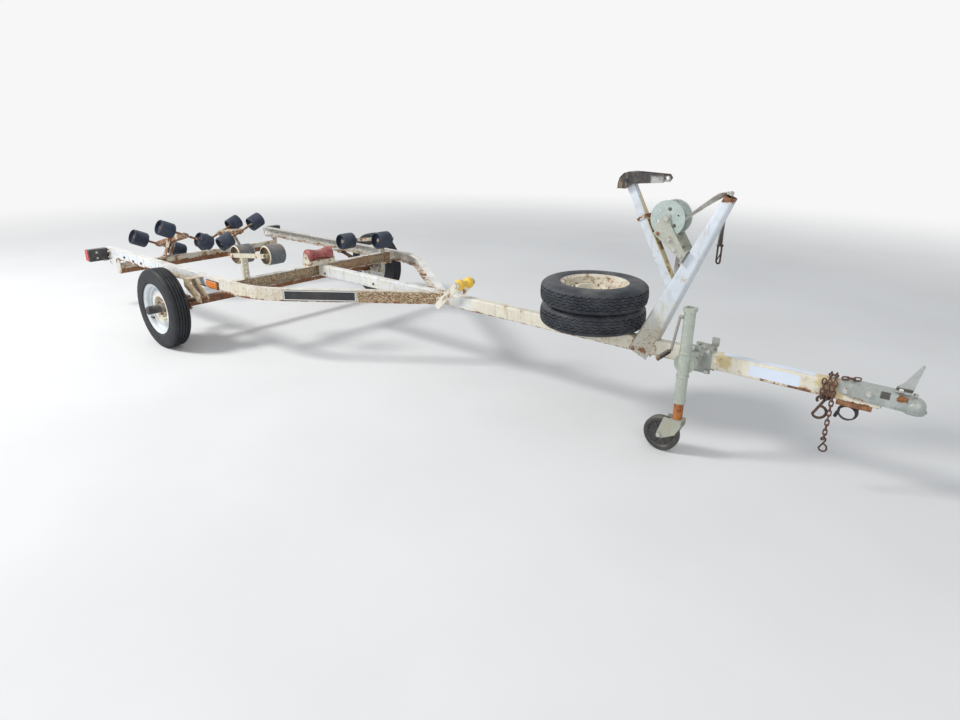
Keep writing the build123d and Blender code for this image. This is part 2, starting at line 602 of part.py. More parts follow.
# Keel roller on the front cross member, in a white U bracket
KEEL_Z = 545.0
KEEL_ROLLER_LENGTH = 200.0
KEEL_END_R = 46.0
KEEL_WAIST_R = 32.0
KEEL_PLATE = 5.0
KEEL_PLATE_WIDTH = 84.0
KEEL_WEB = 36.0
KEEL_GAP = 4.0
KEEL_X = CROSS_X - CROSS_FLANGE / 2 - 12
keel_arm_y = KEEL_ROLLER_LENGTH / 2 + KEEL_GAP
with BuildPart() as keel_bracket:
    with Locations((KEEL_X, 0, FRAME_TOP)):
        Box(KEEL_PLATE_WIDTH, 2 * (keel_arm_y + KEEL_PLATE), KEEL_PLATE, align=(Align.CENTER, Align.CENTER, Align.MIN))
    for side, sign in SIDES:
        with BuildSketch(Plane.XZ.offset(-sign * (keel_arm_y + KEEL_PLATE / 2))):
            with BuildLine():
                Polyline(
                    (KEEL_X - KEEL_PLATE_WIDTH / 2, FRAME_TOP),
                    (KEEL_X + KEEL_PLATE_WIDTH / 2, FRAME_TOP),
                    (KEEL_X + KEEL_PLATE_WIDTH / 2, FRAME_TOP + KEEL_WEB),
                    (KEEL_X + 18, KEEL_Z + 6),
                    (KEEL_X + 10, KEEL_Z + 16),
                    (KEEL_X - 10, KEEL_Z + 16),
                    (KEEL_X - 18, KEEL_Z + 6),
                    (KEEL_X - KEEL_PLATE_WIDTH / 2, FRAME_TOP + KEEL_WEB),
                    close=True,
                )
            make_face()
        extrude(amount=KEEL_PLATE / 2, both=True)
    web_reach = (KEEL_PLATE_WIDTH - KEEL_PLATE) / 2
    with Locations((KEEL_X - web_reach, 0, FRAME_TOP), (KEEL_X + web_reach, 0, FRAME_TOP)):
        Box(KEEL_PLATE, 2 * keel_arm_y + KEEL_PLATE, KEEL_WEB, align=(Align.CENTER, Align.CENTER, Align.MIN))
    with Locations((KEEL_X, 0, KEEL_Z)):
        Cylinder(SHAFT_R, 2 * (keel_arm_y + KEEL_PLATE) + 16, rotation=(90, 0, 0))
keel_bracket.part.label = "keel_bracket"
export_step(keel_bracket.part, "parts/keel_bracket.step")
with BuildPart() as keel_roller:
    with BuildSketch(Plane(origin=(KEEL_X, 0, KEEL_Z), x_dir=(0, 0, 1), z_dir=(1, 0, 0))):
        with BuildLine():
            half = KEEL_ROLLER_LENGTH / 2
            Polyline(
                (KEEL_WAIST_R, -20),
                (KEEL_END_R - 2, -half + 22),
                (KEEL_END_R, -half + 14),
                (KEEL_END_R - 4, -half),
                (SHAFT_R + RUNNING_GAP, -half),
                (SHAFT_R + RUNNING_GAP, half),
                (KEEL_END_R - 4, half),
                (KEEL_END_R, half - 14),
                (KEEL_END_R - 2, half - 22),
                (KEEL_WAIST_R, 20),
                close=True,
            )
        make_face()
    revolve(axis=Axis((KEEL_X, 0, KEEL_Z), (0, 1, 0)))
keel_roller.part.label = "keel_roller"
export_step(keel_roller.part, "parts/keel_roller.step")

# Bow roller: a yellow dumbbell on a slotted arm raked up and forwards from the frame's nose
BOW_FOOT_AHEAD_OF_JOINT = 17.0
BOW_ARM_REACH = 147.0
BOW_ROLLER_Z = 549.0
BOW_ROLLER_LENGTH = 128.0
BOW_LOBE_R = 33.0
BOW_WAIST_R = 17.0
BOW_ARM_WIDTH = 42.0
BOW_ARM = 6.0
BOW_ARM_FOOT_Z = 405.0
BOW_SLOT_LENGTH = 52.0
BOW_SLOT_WIDTH = 11.0
BOW_GAP = 3.0
bow_foot = Vector(RAIL_JOINT_X + BOW_FOOT_AHEAD_OF_JOINT, 0, BOW_ARM_FOOT_Z)
BOW_X = bow_foot.X + BOW_ARM_REACH
bow_top = Vector(BOW_X, 0, BOW_ROLLER_Z)
bow_run = bow_top - bow_foot
bow_arm_y = BOW_ROLLER_LENGTH / 2 + BOW_GAP
with BuildPart() as bow_bracket:
    for side, sign in SIDES:
        arm_y = sign * bow_arm_y
        with BuildSketch(
            Plane(
                origin=(bow_foot + bow_run * 0.5) + Vector(0, arm_y, 0),
                x_dir=bow_run,
                z_dir=(0, sign, 0),
            )
        ):
            SlotOverall(bow_run.length + BOW_ARM_WIDTH, BOW_ARM_WIDTH)
            with Locations((-20, 0)):
                SlotOverall(BOW_SLOT_LENGTH, BOW_SLOT_WIDTH, mode=Mode.SUBTRACT)
        extrude(amount=BOW_ARM)
        foot_reach = bow_arm_y - TONGUE_SIDE
        with Locations((bow_foot.X + 9, sign * TONGUE_SIDE, FRAME_MID - 6)):
            Box(
                44,
                foot_reach,
                40,
                align=(Align.CENTER, Align.MIN if sign > 0 else Align.MAX, Align.CENTER),
            )
            Box(
                32,
                foot_reach + 1,
                28,
                align=(Align.CENTER, Align.MIN if sign > 0 else Align.MAX, Align.CENTER),
                mode=Mode.SUBTRACT,
            )
    with Locations((BOW_X, 0, BOW_ROLLER_Z)):
        Cylinder(SHAFT_R, 2 * (bow_arm_y + BOW_ARM) + 14, rotation=(90, 0, 0))
bow_bracket.part.label = "bow_bracket"
export_step(bow_bracket.part, "parts/bow_bracket.step")
with BuildPart() as bow_roller:
    with BuildSketch(Plane(origin=(BOW_X, 0, BOW_ROLLER_Z), x_dir=(0, 0, 1), z_dir=(1, 0, 0))):
        with BuildLine():
            half = BOW_ROLLER_LENGTH / 2
            Polyline(
                (BOW_WAIST_R, -14),
                (BOW_WAIST_R + 6, -20),
                (BOW_LOBE_R - 3, -26),
                (BOW_LOBE_R, -34),
                (BOW_LOBE_R, -46),
                (BOW_LOBE_R - 6, -56),
                (BOW_WAIST_R + 4, -half),
                (SHAFT_R + RUNNING_GAP, -half),
                (SHAFT_R + RUNNING_GAP, half),
                (BOW_WAIST_R + 4, half),
                (BOW_LOBE_R - 6, 56),
                (BOW_LOBE_R, 46),
                (BOW_LOBE_R, 34),
                (BOW_LOBE_R - 3, 26),
                (BOW_WAIST_R + 6, 20),
                (BOW_WAIST_R, 14),
                close=True,
            )
        make_face()
    revolve(axis=Axis((BOW_X, 0, BOW_ROLLER_Z), (0, 1, 0)))
bow_roller.part.label = "bow_roller"
export_step(bow_roller.part, "parts/bow_roller.step")

# Rear roller cradles: each rocks on a pivot above the rear cross member
CRADLE_Y = 265.0
CRADLE_Z = 490.0
CRADLE_X = REAR_CROSS_X
CRADLE_TILT = 24.0
CRADLE_PAIR = 167.5
CRADLE_REACH = 210.0
# Each side: how far its beam is rocked, nose up
CRADLE_RAKES = {"right": 17.0, "left": 9.0}
CRADLE_BEAM = 32.0
CRADLE_BEAM_DEEP = 40.0
PIVOT_R = 10.0
POST_CHEEK = 6.0
POST_GAP = 3.0
POST_WIDTH = 50.0
POST_FOOT_WIDTH = 92.0
POST_FOOT_LENGTH = 64.0
POST_FOOT = 6.0
for side, sign in SIDES:
    tilt = radians(CRADLE_TILT)
    rake = radians(CRADLE_RAKES[side])
    # Along the shafts, from the inner low end to the outer high end
    shaft_dir = Vector(0, sign * cos(tilt), sin(tilt))
    level_up = Vector(0, -sign * sin(tilt), cos(tilt))
    beam_dir = Vector(cos(rake), 0, 0) + level_up * sin(rake)
    centre = Vector(CRADLE_X, sign * CRADLE_Y, CRADLE_Z)
    beam_plane = Plane(origin=centre, x_dir=beam_dir, z_dir=shaft_dir)
    with BuildPart() as cradle:
        with BuildSketch(beam_plane):
            SlotOverall(2 * CRADLE_REACH + CRADLE_BEAM_DEEP, CRADLE_BEAM_DEEP)
            Circle(PIVOT_R + RUNNING_GAP, mode=Mode.SUBTRACT)
        extrude(amount=CRADLE_BEAM / 2, both=True)
        for reach in (-CRADLE_REACH, CRADLE_REACH):
            with BuildSketch(Plane(origin=centre + beam_dir * reach, x_dir=beam_dir, z_dir=shaft_dir)):
                Circle(SHAFT_R)
            extrude(amount=CRADLE_PAIR + ROLLER_LENGTH / 2 - ROLLER_RECESS + 8, both=True)
    cradle.part.label = f"cradle_{side}"
    export_step(cradle.part, f"parts/cradle_{side}.step")
    for end, reach in (("rear", -CRADLE_REACH), ("front", CRADLE_REACH)):
        with BuildPart() as roller_pair:
            add(
                [
                    roller_solid(centre + beam_dir * reach + shaft_dir * offset, shaft_dir)
                    for offset in (-CRADLE_PAIR, CRADLE_PAIR)
                ]
            )
        roller_pair.part.label = f"cradle_rollers_{side}_{end}"
        export_step(roller_pair.part, f"parts/cradle_rollers_{side}_{end}.step")
with BuildPart() as cradle_posts:
    for side, sign in SIDES:
        shaft_dir = Vector(0, sign * cos(radians(CRADLE_TILT)), sin(radians(CRADLE_TILT)))
        post_down = Vector(0, sign * sin(radians(CRADLE_TILT)), -cos(radians(CRADLE_TILT)))
        centre = Vector(CRADLE_X, sign * CRADLE_Y, CRADLE_Z)
        cheek_set = CRADLE_BEAM / 2 + POST_GAP
        cheek_drop = CRADLE_Z - REAR_CROSS_TOP
        for start in (-cheek_set - POST_CHEEK, cheek_set):
            with BuildSketch(Plane(origin=centre + shaft_dir * start, x_dir=post_down, z_dir=shaft_dir)):
                with Locations((-18, 0)):
                    Rectangle(18 + cheek_drop + 30, POST_WIDTH, align=(Align.MIN, Align.CENTER))
            extrude(amount=POST_CHEEK)
        with BuildSketch(Plane(origin=centre - shaft_dir * (cheek_set + 14), x_dir=(1, 0, 0), z_dir=shaft_dir)):
            Circle(PIVOT_R)
        extrude(amount=2 * cheek_set + 28)
        foot_y = sign * CRADLE_Y + post_down.Y * cheek_drop / cos(radians(CRADLE_TILT))
        with Locations((CRADLE_X, foot_y, REAR_CROSS_TOP)):
            Box(POST_FOOT_LENGTH, POST_FOOT_WIDTH, POST_FOOT, align=(Align.CENTER, Align.CENTER, Align.MIN))
    split(bisect_by=Plane.XY.offset(REAR_CROSS_TOP), keep=Keep.TOP)
cradle_posts.part.label = "cradle_posts"
export_step(cradle_posts.part, "parts/cradle_posts.step")

# Winch post: a box section raked forwards, slotted at its foot to straddle the tongue
WINCH_POST_RAKE = 24.3
WINCH_POST_LENGTH = 822.0
WINCH_POST_BELOW = 12.0
# Its front and rear faces at the foot and at the top, from the line that it is raked along
POST_FOOT_FRONT = -52.0
POST_FOOT_REAR = 57.0
POST_TOP_FRONT = -13.0
POST_TOP_REAR = 29.0
WINCH_POST_WALL = 4.5
WINCH_POST_BEND = 12.0
WINCH_POST_WIDTH = TONGUE_WIDTH + 2 * WINCH_POST_WALL + 2 * SEAT_GAP
post_turn = radians(WINCH_POST_RAKE)
post_dir = Vector(sin(post_turn), 0, cos(post_turn))
post_back = Vector(-cos(post_turn), 0, sin(post_turn))
post_foot = Vector(WINCH_POST_X, 0, FRAME_BOTTOM)
post_plane = Plane(origin=post_foot, x_dir=post_back, z_dir=post_dir)


def on_post(up, back, y=0.0):
    return post_foot + post_dir * up + post_back * back + Vector(0, y, 0)


# The rear face slopes forwards on its way up
rear_slope = (POST_FOOT_REAR - POST_TOP_REAR) / (WINCH_POST_LENGTH + WINCH_POST_BELOW)
rear_up = (post_dir - post_back * rear_slope).normalized()
rear_out = (post_back + post_dir * rear_slope).normalized()


def post_rear(up):
    return POST_FOOT_REAR - rear_slope * (up + WINCH_POST_BELOW)


# The post's two ends: height, front face and rear face
POST_ENDS = (
    (-WINCH_POST_BELOW, POST_FOOT_FRONT, POST_FOOT_REAR),
    (WINCH_POST_LENGTH, POST_TOP_FRONT, POST_TOP_REAR),
)
with BuildPart() as winch_post:
    for wall, bend, result in (
        (0, WINCH_POST_BEND, Mode.ADD),
        (WINCH_POST_WALL, WINCH_POST_BEND - WINCH_POST_WALL, Mode.SUBTRACT),
    ):
        for up, front, rear in POST_ENDS:
            with BuildSketch(post_plane.offset(up)):
                with Locations(((front + rear) / 2, 0)):
                    RectangleRounded(rear - front - 2 * wall, WINCH_POST_WIDTH - 2 * wall, bend)
        loft(ruled=True, mode=result)
    with Locations((post_foot.X, 0, FRAME_TOP + SEAT_GAP)):
        Box(
            3 * (POST_FOOT_REAR - POST_FOOT_FRONT),
            TONGUE_WIDTH + 2 * SEAT_GAP,
            2 * FRAME_DEPTH,
            align=(Align.CENTER, Align.CENTER, Align.MAX),
            mode=Mode.SUBTRACT,
        )
winch_post.part.label = "winch_post"
export_step(winch_post.part, "parts/winch_post.step")

# Winch strut: two telescoping square tubes that lean back from the post, with a collar
WINCH_UP = 622.0
WINCH_BACK = 190.0
STRUT_BELOW_WINCH = 257.0
STRUT_INSIDE_POST = 2.0
STRUT_LEAN = 29.0
STRUT_OUTER = 45.0
STRUT_INNER = 38.0
STRUT_WALL = 3.0
STRUT_OUTER_LENGTH = 334.0
STRUT_LENGTH = 529.0
STRUT_COLLAR = 14.0
STRUT_PIN_R = 7.0
STRUT_PIN_DOWN = 20.0
strut_turn = radians(STRUT_LEAN)
strut_dir = Vector(-sin(strut_turn), 0, cos(strut_turn))
strut_back = Vector(-cos(strut_turn), 0, -sin(strut_turn))
strut_up = WINCH_UP - STRUT_BELOW_WINCH
strut_foot = on_post(strut_up, post_rear(strut_up) - STRUT_INSIDE_POST)
strut_plane = Plane(origin=strut_foot, x_dir=strut_back, z_dir=strut_dir)
strut_pin = strut_foot + strut_dir * (STRUT_LENGTH - STRUT_PIN_DOWN)
with BuildPart() as winch_strut:
    with BuildSketch(strut_plane):
        RectangleRounded(STRUT_OUTER, STRUT_OUTER, 5)
    extrude(amount=STRUT_OUTER_LENGTH)
    with BuildSketch(strut_plane.offset(STRUT_OUTER_LENGTH - STRUT_COLLAR)):
        RectangleRounded(STRUT_OUTER + 10, STRUT_OUTER + 10, 6)
    extrude(amount=STRUT_COLLAR)
    with BuildSketch(strut_plane.offset(STRUT_OUTER_LENGTH - 20)):
        RectangleRounded(STRUT_INNER, STRUT_INNER, 4)
    extrude(amount=STRUT_LENGTH - STRUT_OUTER_LENGTH + 20)
    with BuildSketch(strut_plane.offset(6)):
        Rectangle(STRUT_INNER - 2 * STRUT_WALL, STRUT_INNER - 2 * STRUT_WALL)
    extrude(amount=STRUT_LENGTH, mode=Mode.SUBTRACT)
    with Locations(strut_pin):
        Cylinder(STRUT_PIN_R + SEAT_GAP, STRUT_OUTER, rotation=(90, 0, 0), mode=Mode.SUBTRACT)
    split(bisect_by=Plane(origin=on_post(strut_up, post_rear(strut_up)), z_dir=rear_out), keep=Keep.TOP)
winch_strut.part.label = "winch_strut"
export_step(winch_strut.part, "parts/winch_strut.step")

# Bow stop bracket: a curved strap over the strut's top, bare of its roller
BOW_STOP_WIDTH = 76.0
BOW_STOP_PLATE = 5.0
BOW_STOP_REACH = 205.0
BOW_STOP_DEPTH = 46.0
BOW_STOP_PIN_R = 8.0
BOW_STOP_STAND_OFF = 6.0
strut_top = strut_foot + strut_dir * (STRUT_LENGTH + BOW_STOP_STAND_OFF)
stop_x = strut_top.X - 16
stop_z = strut_top.Z + 2
stop_inner = BOW_STOP_WIDTH / 2 - BOW_STOP_PLATE
with BuildPart() as bow_stop:
    with BuildSketch(Plane(origin=(stop_x, 0, stop_z), x_dir=(1, 0, 0), z_dir=(0, -1, 0))):
        with BuildLine():
            Polyline(
                (-14, -62),
                (-12, -36),
                (-4, -12),
                (14, 6),
                (40, 14),
                (BOW_STOP_REACH, 8),
                (BOW_STOP_REACH + 12, -8),
                (BOW_STOP_REACH, -26),
                (60, BOW_STOP_PLATE + 3 - BOW_STOP_DEPTH),
                (28, -62),
                close=True,
            )
        make_face()
        with Locations((BOW_STOP_REACH - 12, -10)):
            Circle(BOW_STOP_PIN_R, mode=Mode.SUBTRACT)
    extrude(amount=BOW_STOP_WIDTH / 2, both=True)
    # Inside the curved strap, and open on top ahead of it
    with BuildSketch(Plane(origin=(stop_x, 0, stop_z), x_dir=(1, 0, 0), z_dir=(0, -1, 0))):
        with BuildLine():
            Polyline(
                (-9, -80),
                (-7, -37),
                (0.5, -14.5),
                (17, 1.5),
                (41, 9),
                (70, 9),
                (70, 40),
                (BOW_STOP_REACH + 40, 40),
                (BOW_STOP_REACH + 40, -80),
                close=True,
            )
        make_face()
    extrude(amount=stop_inner, both=True, mode=Mode.SUBTRACT)
    with Locations(strut_pin):
        Cylinder(STRUT_PIN_R, BOW_STOP_WIDTH + 16, rotation=(90, 0, 0))
bow_stop.part.label = "bow_stop"
export_step(bow_stop.part, "parts/bow_stop.step")

# Winch: two side plates bolted to the post, a drum with its gear, and a crank on the pinion
WINCH_INNER = 96.0
WINCH_PLATE = 4.0
WINCH_FOOT_BELOW = 107.0
WINCH_FOOT = 34.0
WINCH_FOOT_PLATE = 64.0
# A side plate's other corners: above and behind the drum's axis
PLATE_CORNERS = ((-16.0, -32.0), (22.0, -2.0), (8.0, 18.0), (-22.0, 26.0), (-86.0, 23.0))
DRUM_FLANGE_R = 80.0
DRUM_FLANGE = 3.0
DRUM_CORE_R = 24.0
COIL_R = 44.0
AXIS_R = 9.0
GEAR_TEETH = 50
GEAR_PITCH_R = 76.0
GEAR_TOOTH = 4.0
GEAR_WIDTH = 8.0
PINION_TEETH = 10
PINION_WIDTH = 8.0
PINION_SHAFT_R = 7.0
PINION_PITCH_R = GEAR_PITCH_R * PINION_TEETH / GEAR_TEETH
MESH_GAP = 0.6
PINION_TURN = radians(38.0)
DRUM_SIDE_GAP = 2.5
drum_centre = on_post(WINCH_UP, WINCH_BACK)
pinion_reach = GEAR_PITCH_R + PINION_PITCH_R + MESH_GAP
pinion_up = WINCH_UP - pinion_reach * cos(PINION_TURN)
pinion_back = WINCH_BACK - pinion_reach * sin(PINION_TURN)
pinion_centre = on_post(pinion_up, pinion_back)
plate_y = WINCH_INNER / 2
winch_foot_up = WINCH_UP - WINCH_FOOT_BELOW
plate_foot = [(up, post_rear(up)) for up in (winch_foot_up - WINCH_FOOT / 2, winch_foot_up + WINCH_FOOT / 2)]
plate_outline = plate_foot + [(WINCH_UP + up, WINCH_BACK + back) for up, back in PLATE_CORNERS]
with BuildPart() as winch_frame:
    for side, sign in SIDES:
        with BuildSketch(Plane(origin=on_post(0, 0, sign * plate_y), x_dir=post_dir, z_dir=(0, sign, 0))):
            flip = 1 if sign < 0 else -1
            with BuildLine():
                Polyline(*[(up, flip * back) for up, back in plate_outline], close=True)
            make_face()
            with Locations((WINCH_UP, flip * WINCH_BACK)):
                Circle(AXIS_R + RUNNING_GAP, mode=Mode.SUBTRACT)
            with Locations((pinion_up, flip * pinion_back)):
                Circle(PINION_SHAFT_R + RUNNING_GAP, mode=Mode.SUBTRACT)
        extrude(amount=WINCH_PLATE)
    foot_middle = on_post(winch_foot_up, post_rear(winch_foot_up))
    with BuildSketch(Plane(origin=foot_middle, x_dir=rear_up, z_dir=rear_out)):
        Rectangle(WINCH_FOOT_PLATE, WINCH_INNER + 2 * WINCH_PLATE)
    extrude(amount=WINCH_PLATE)
winch_frame.part.label = "winch_frame"
export_step(winch_frame.part, "parts/winch_frame.step")


# One tooth: share of the tooth's pitch, and height from the pitch circle
TOOTH_CORNERS = (
    (0.25, -GEAR_TOOTH / 2),
    (0.40, GEAR_TOOTH / 2),
    (0.60, GEAR_TOOTH / 2),
    (0.75, -GEAR_TOOTH / 2),
)


def gear_points(pitch_r, teeth, phase):
    corners = []
    for tooth in range(teeth):
        for share, height in TOOTH_CORNERS:
            angle = phase + (tooth + share) * 2 * pi / teeth
            corners.append(((pitch_r + height) * cos(angle), (pitch_r + height) * sin(angle)))
    return corners


# A tooth of the drum's gear and a gap of the pinion lie on the line between the two axes
mesh_line = pinion_centre - drum_centre
mesh_angle = atan2(mesh_line.Z, mesh_line.X)
gear_phase = mesh_angle - pi / GEAR_TEETH
pinion_phase = mesh_angle + pi
with BuildPart() as winch_drum:
    drum_plane = Plane(origin=drum_centre, x_dir=(1, 0, 0), z_dir=(0, -1, 0))
    near = WINCH_INNER / 2 - DRUM_SIDE_GAP
    with BuildSketch(drum_plane.offset(near)):
        Circle(DRUM_FLANGE_R)
        with PolarLocations(44, 3, start_angle=80):
            Circle(9, mode=Mode.SUBTRACT)
        with PolarLocations(52, 3, start_angle=140):
            Circle(4.5, mode=Mode.SUBTRACT)
    extrude(amount=-DRUM_FLANGE)
    with BuildSketch(drum_plane.offset(near)):
        Circle(DRUM_CORE_R)
    extrude(amount=-(WINCH_INNER - 2 * DRUM_SIDE_GAP))
    with BuildSketch(drum_plane.offset(-near + GEAR_WIDTH)):
        Circle(GEAR_PITCH_R - GEAR_TOOTH)
    extrude(amount=DRUM_FLANGE)
    with BuildSketch(drum_plane.offset(-near)):
        with BuildLine():
            Polyline(*gear_points(GEAR_PITCH_R, GEAR_TEETH, gear_phase), close=True)
        make_face()
    extrude(amount=GEAR_WIDTH)
    with BuildSketch(drum_plane.offset(plate_y + WINCH_PLATE + 6)):
        Circle(AXIS_R)
    extrude(amount=-(2 * plate_y + 2 * WINCH_PLATE + 12))
winch_drum.part.label = "winch_drum"
export_step(winch_drum.part, "parts/winch_drum.step")

# Strap coil on the drum
COIL_HALF = 32.0
with BuildPart() as strap_coil:
    with BuildSketch(drum_plane.offset(-COIL_HALF + 4)):
        Circle(COIL_R)
        Circle(DRUM_CORE_R + SEAT_GAP, mode=Mode.SUBTRACT)
    extrude(amount=2 * COIL_HALF - 8)
strap_coil.part.label = "strap_coil"
export_step(strap_coil.part, "parts/strap_coil.step")

# Crank: pinion, shaft, a flat arm that hangs down and its grip
CRANK_Y = 84.0
CRANK_REACH = 196.0
CRANK_ARM = 6.0
CRANK_ARM_WIDTH = 24.0
GRIP_R = 14.0
GRIP_LENGTH = 96.0
crank_dir = Vector(-0.06, 0, -1).normalized()
crank_end = Vector(pinion_centre.X, CRANK_Y, pinion_centre.Z) + crank_dir * CRANK_REACH
with BuildPart() as winch_crank:
    pinion_plane = Plane(origin=pinion_centre, x_dir=(1, 0, 0), z_dir=(0, -1, 0))
    with BuildSketch(pinion_plane.offset(-near - 1)):
        with BuildLine():
            Polyline(*gear_points(PINION_PITCH_R, PINION_TEETH, pinion_phase), close=True)
        make_face()
    extrude(amount=PINION_WIDTH)
    with BuildSketch(pinion_plane.offset(plate_y + WINCH_PLATE + 8)):
        Circle(PINION_SHAFT_R)
    extrude(amount=-(plate_y + WINCH_PLATE + 8 + CRANK_Y + CRANK_ARM + 6))
    arm_mid = (Vector(pinion_centre.X, CRANK_Y, pinion_centre.Z) + crank_end) * 0.5
    with BuildSketch(Plane(origin=arm_mid, x_dir=crank_dir, z_dir=(0, 1, 0))):
        SlotOverall(CRANK_REACH + CRANK_ARM_WIDTH, CRANK_ARM_WIDTH)
    extrude(amount=CRANK_ARM)
    with BuildSketch(Plane(origin=crank_end, x_dir=(1, 0, 0), z_dir=(0, 1, 0))):
        Circle(6)
    extrude(amount=CRANK_ARM + GRIP_LENGTH + 8)
    with BuildSketch(Plane(origin=crank_end + Vector(0, CRANK_ARM + 4, 0), x_dir=(1, 0, 0), z_dir=(0, 1, 0))):
        Circle(GRIP_R)
    extrude(amount=GRIP_LENGTH)
winch_crank.part.label = "winch_crank"
export_step(winch_crank.part, "parts/winch_crank.step")

# Winch strap: from the coil over the post's top, then down its far side to the hook
STRAP_WIDTH = 44.0
STRAP_THICK = 2.4
STRAP_HANG = 215.0
HANG_WIDTH = 26.0
HANG_BACK = 22.0
STRAP_PAST_POST = 4.0
STRAP_SHORT_OF_POST = 8.0
strap_up = WINCH_POST_LENGTH + SEAT_GAP
post_top_back = on_post(strap_up, POST_TOP_REAR + STRAP_PAST_POST)
post_top_front = on_post(strap_up, POST_TOP_FRONT + STRAP_SHORT_OF_POST)
strap_start = drum_centre + Vector(0.6, 0, -0.8) * (COIL_R + 5)
hang_y = WINCH_POST_WIDTH / 2 + 3
with BuildPart() as winch_strap:
    with BuildSketch(Plane.XZ):
        with BuildLine():
            Polyline(
                (strap_start.X, strap_start.Z),
                (post_top_back.X, post_top_back.Z),
                (post_top_front.X, post_top_front.Z),
                (post_top_front.X, post_top_front.Z + STRAP_THICK),
                (post_top_back.X, post_top_back.Z + STRAP_THICK),
                (strap_start.X, strap_start.Z + STRAP_THICK),
                close=True,
            )
        make_face()
    extrude(amount=STRAP_WIDTH / 2, both=True)
    with BuildSketch(Plane(origin=on_post(strap_up, HANG_BACK), x_dir=post_back, z_dir=post_dir)):
        with Locations((0, -(hang_y + STRAP_THICK) / 2)):
            Rectangle(HANG_WIDTH, hang_y + STRAP_THICK)
    extrude(amount=STRAP_THICK)
    with Locations(on_post(strap_up, HANG_BACK, hang_y + STRAP_THICK / 2)):
        Box(HANG_WIDTH, STRAP_THICK, STRAP_HANG, align=(Align.CENTER, Align.CENTER, Align.MAX))
winch_strap.part.label = "winch_strap"
export_step(winch_strap.part, "parts/winch_strap.step")

# Snap hook that hangs from the strap's end
HOOK_LENGTH = 92.0
HOOK_WIDTH = 36.0
HOOK_WIRE = 8.0
hook_top = on_post(strap_up, HANG_BACK, hang_y + STRAP_THICK / 2) - Vector(0, 0, STRAP_HANG)
with BuildPart() as snap_hook:
    with BuildSketch(Plane(origin=hook_top - Vector(0, 0, HOOK_LENGTH / 2 - 10), x_dir=(0, 0, 1), z_dir=(0, 1, 0))):
        SlotOverall(HOOK_LENGTH, HOOK_WIDTH)
        with Locations((-8, 0)):
            SlotOverall(HOOK_LENGTH - 32, HOOK_WIDTH - 2 * HOOK_WIRE, mode=Mode.SUBTRACT)
    extrude(amount=HOOK_WIRE / 2, both=True)
    with Locations(hook_top - Vector(0, 0, SEAT_GAP)):
        Box(
            HANG_WIDTH + 2 * SEAT_GAP,
            STRAP_THICK + 2 * SEAT_GAP,
            20,
            align=(Align.CENTER, Align.CENTER, Align.MIN),
            mode=Mode.SUBTRACT,
        )
snap_hook.part.label = "snap_hook"
export_step(snap_hook.part, "parts/snap_hook.step")

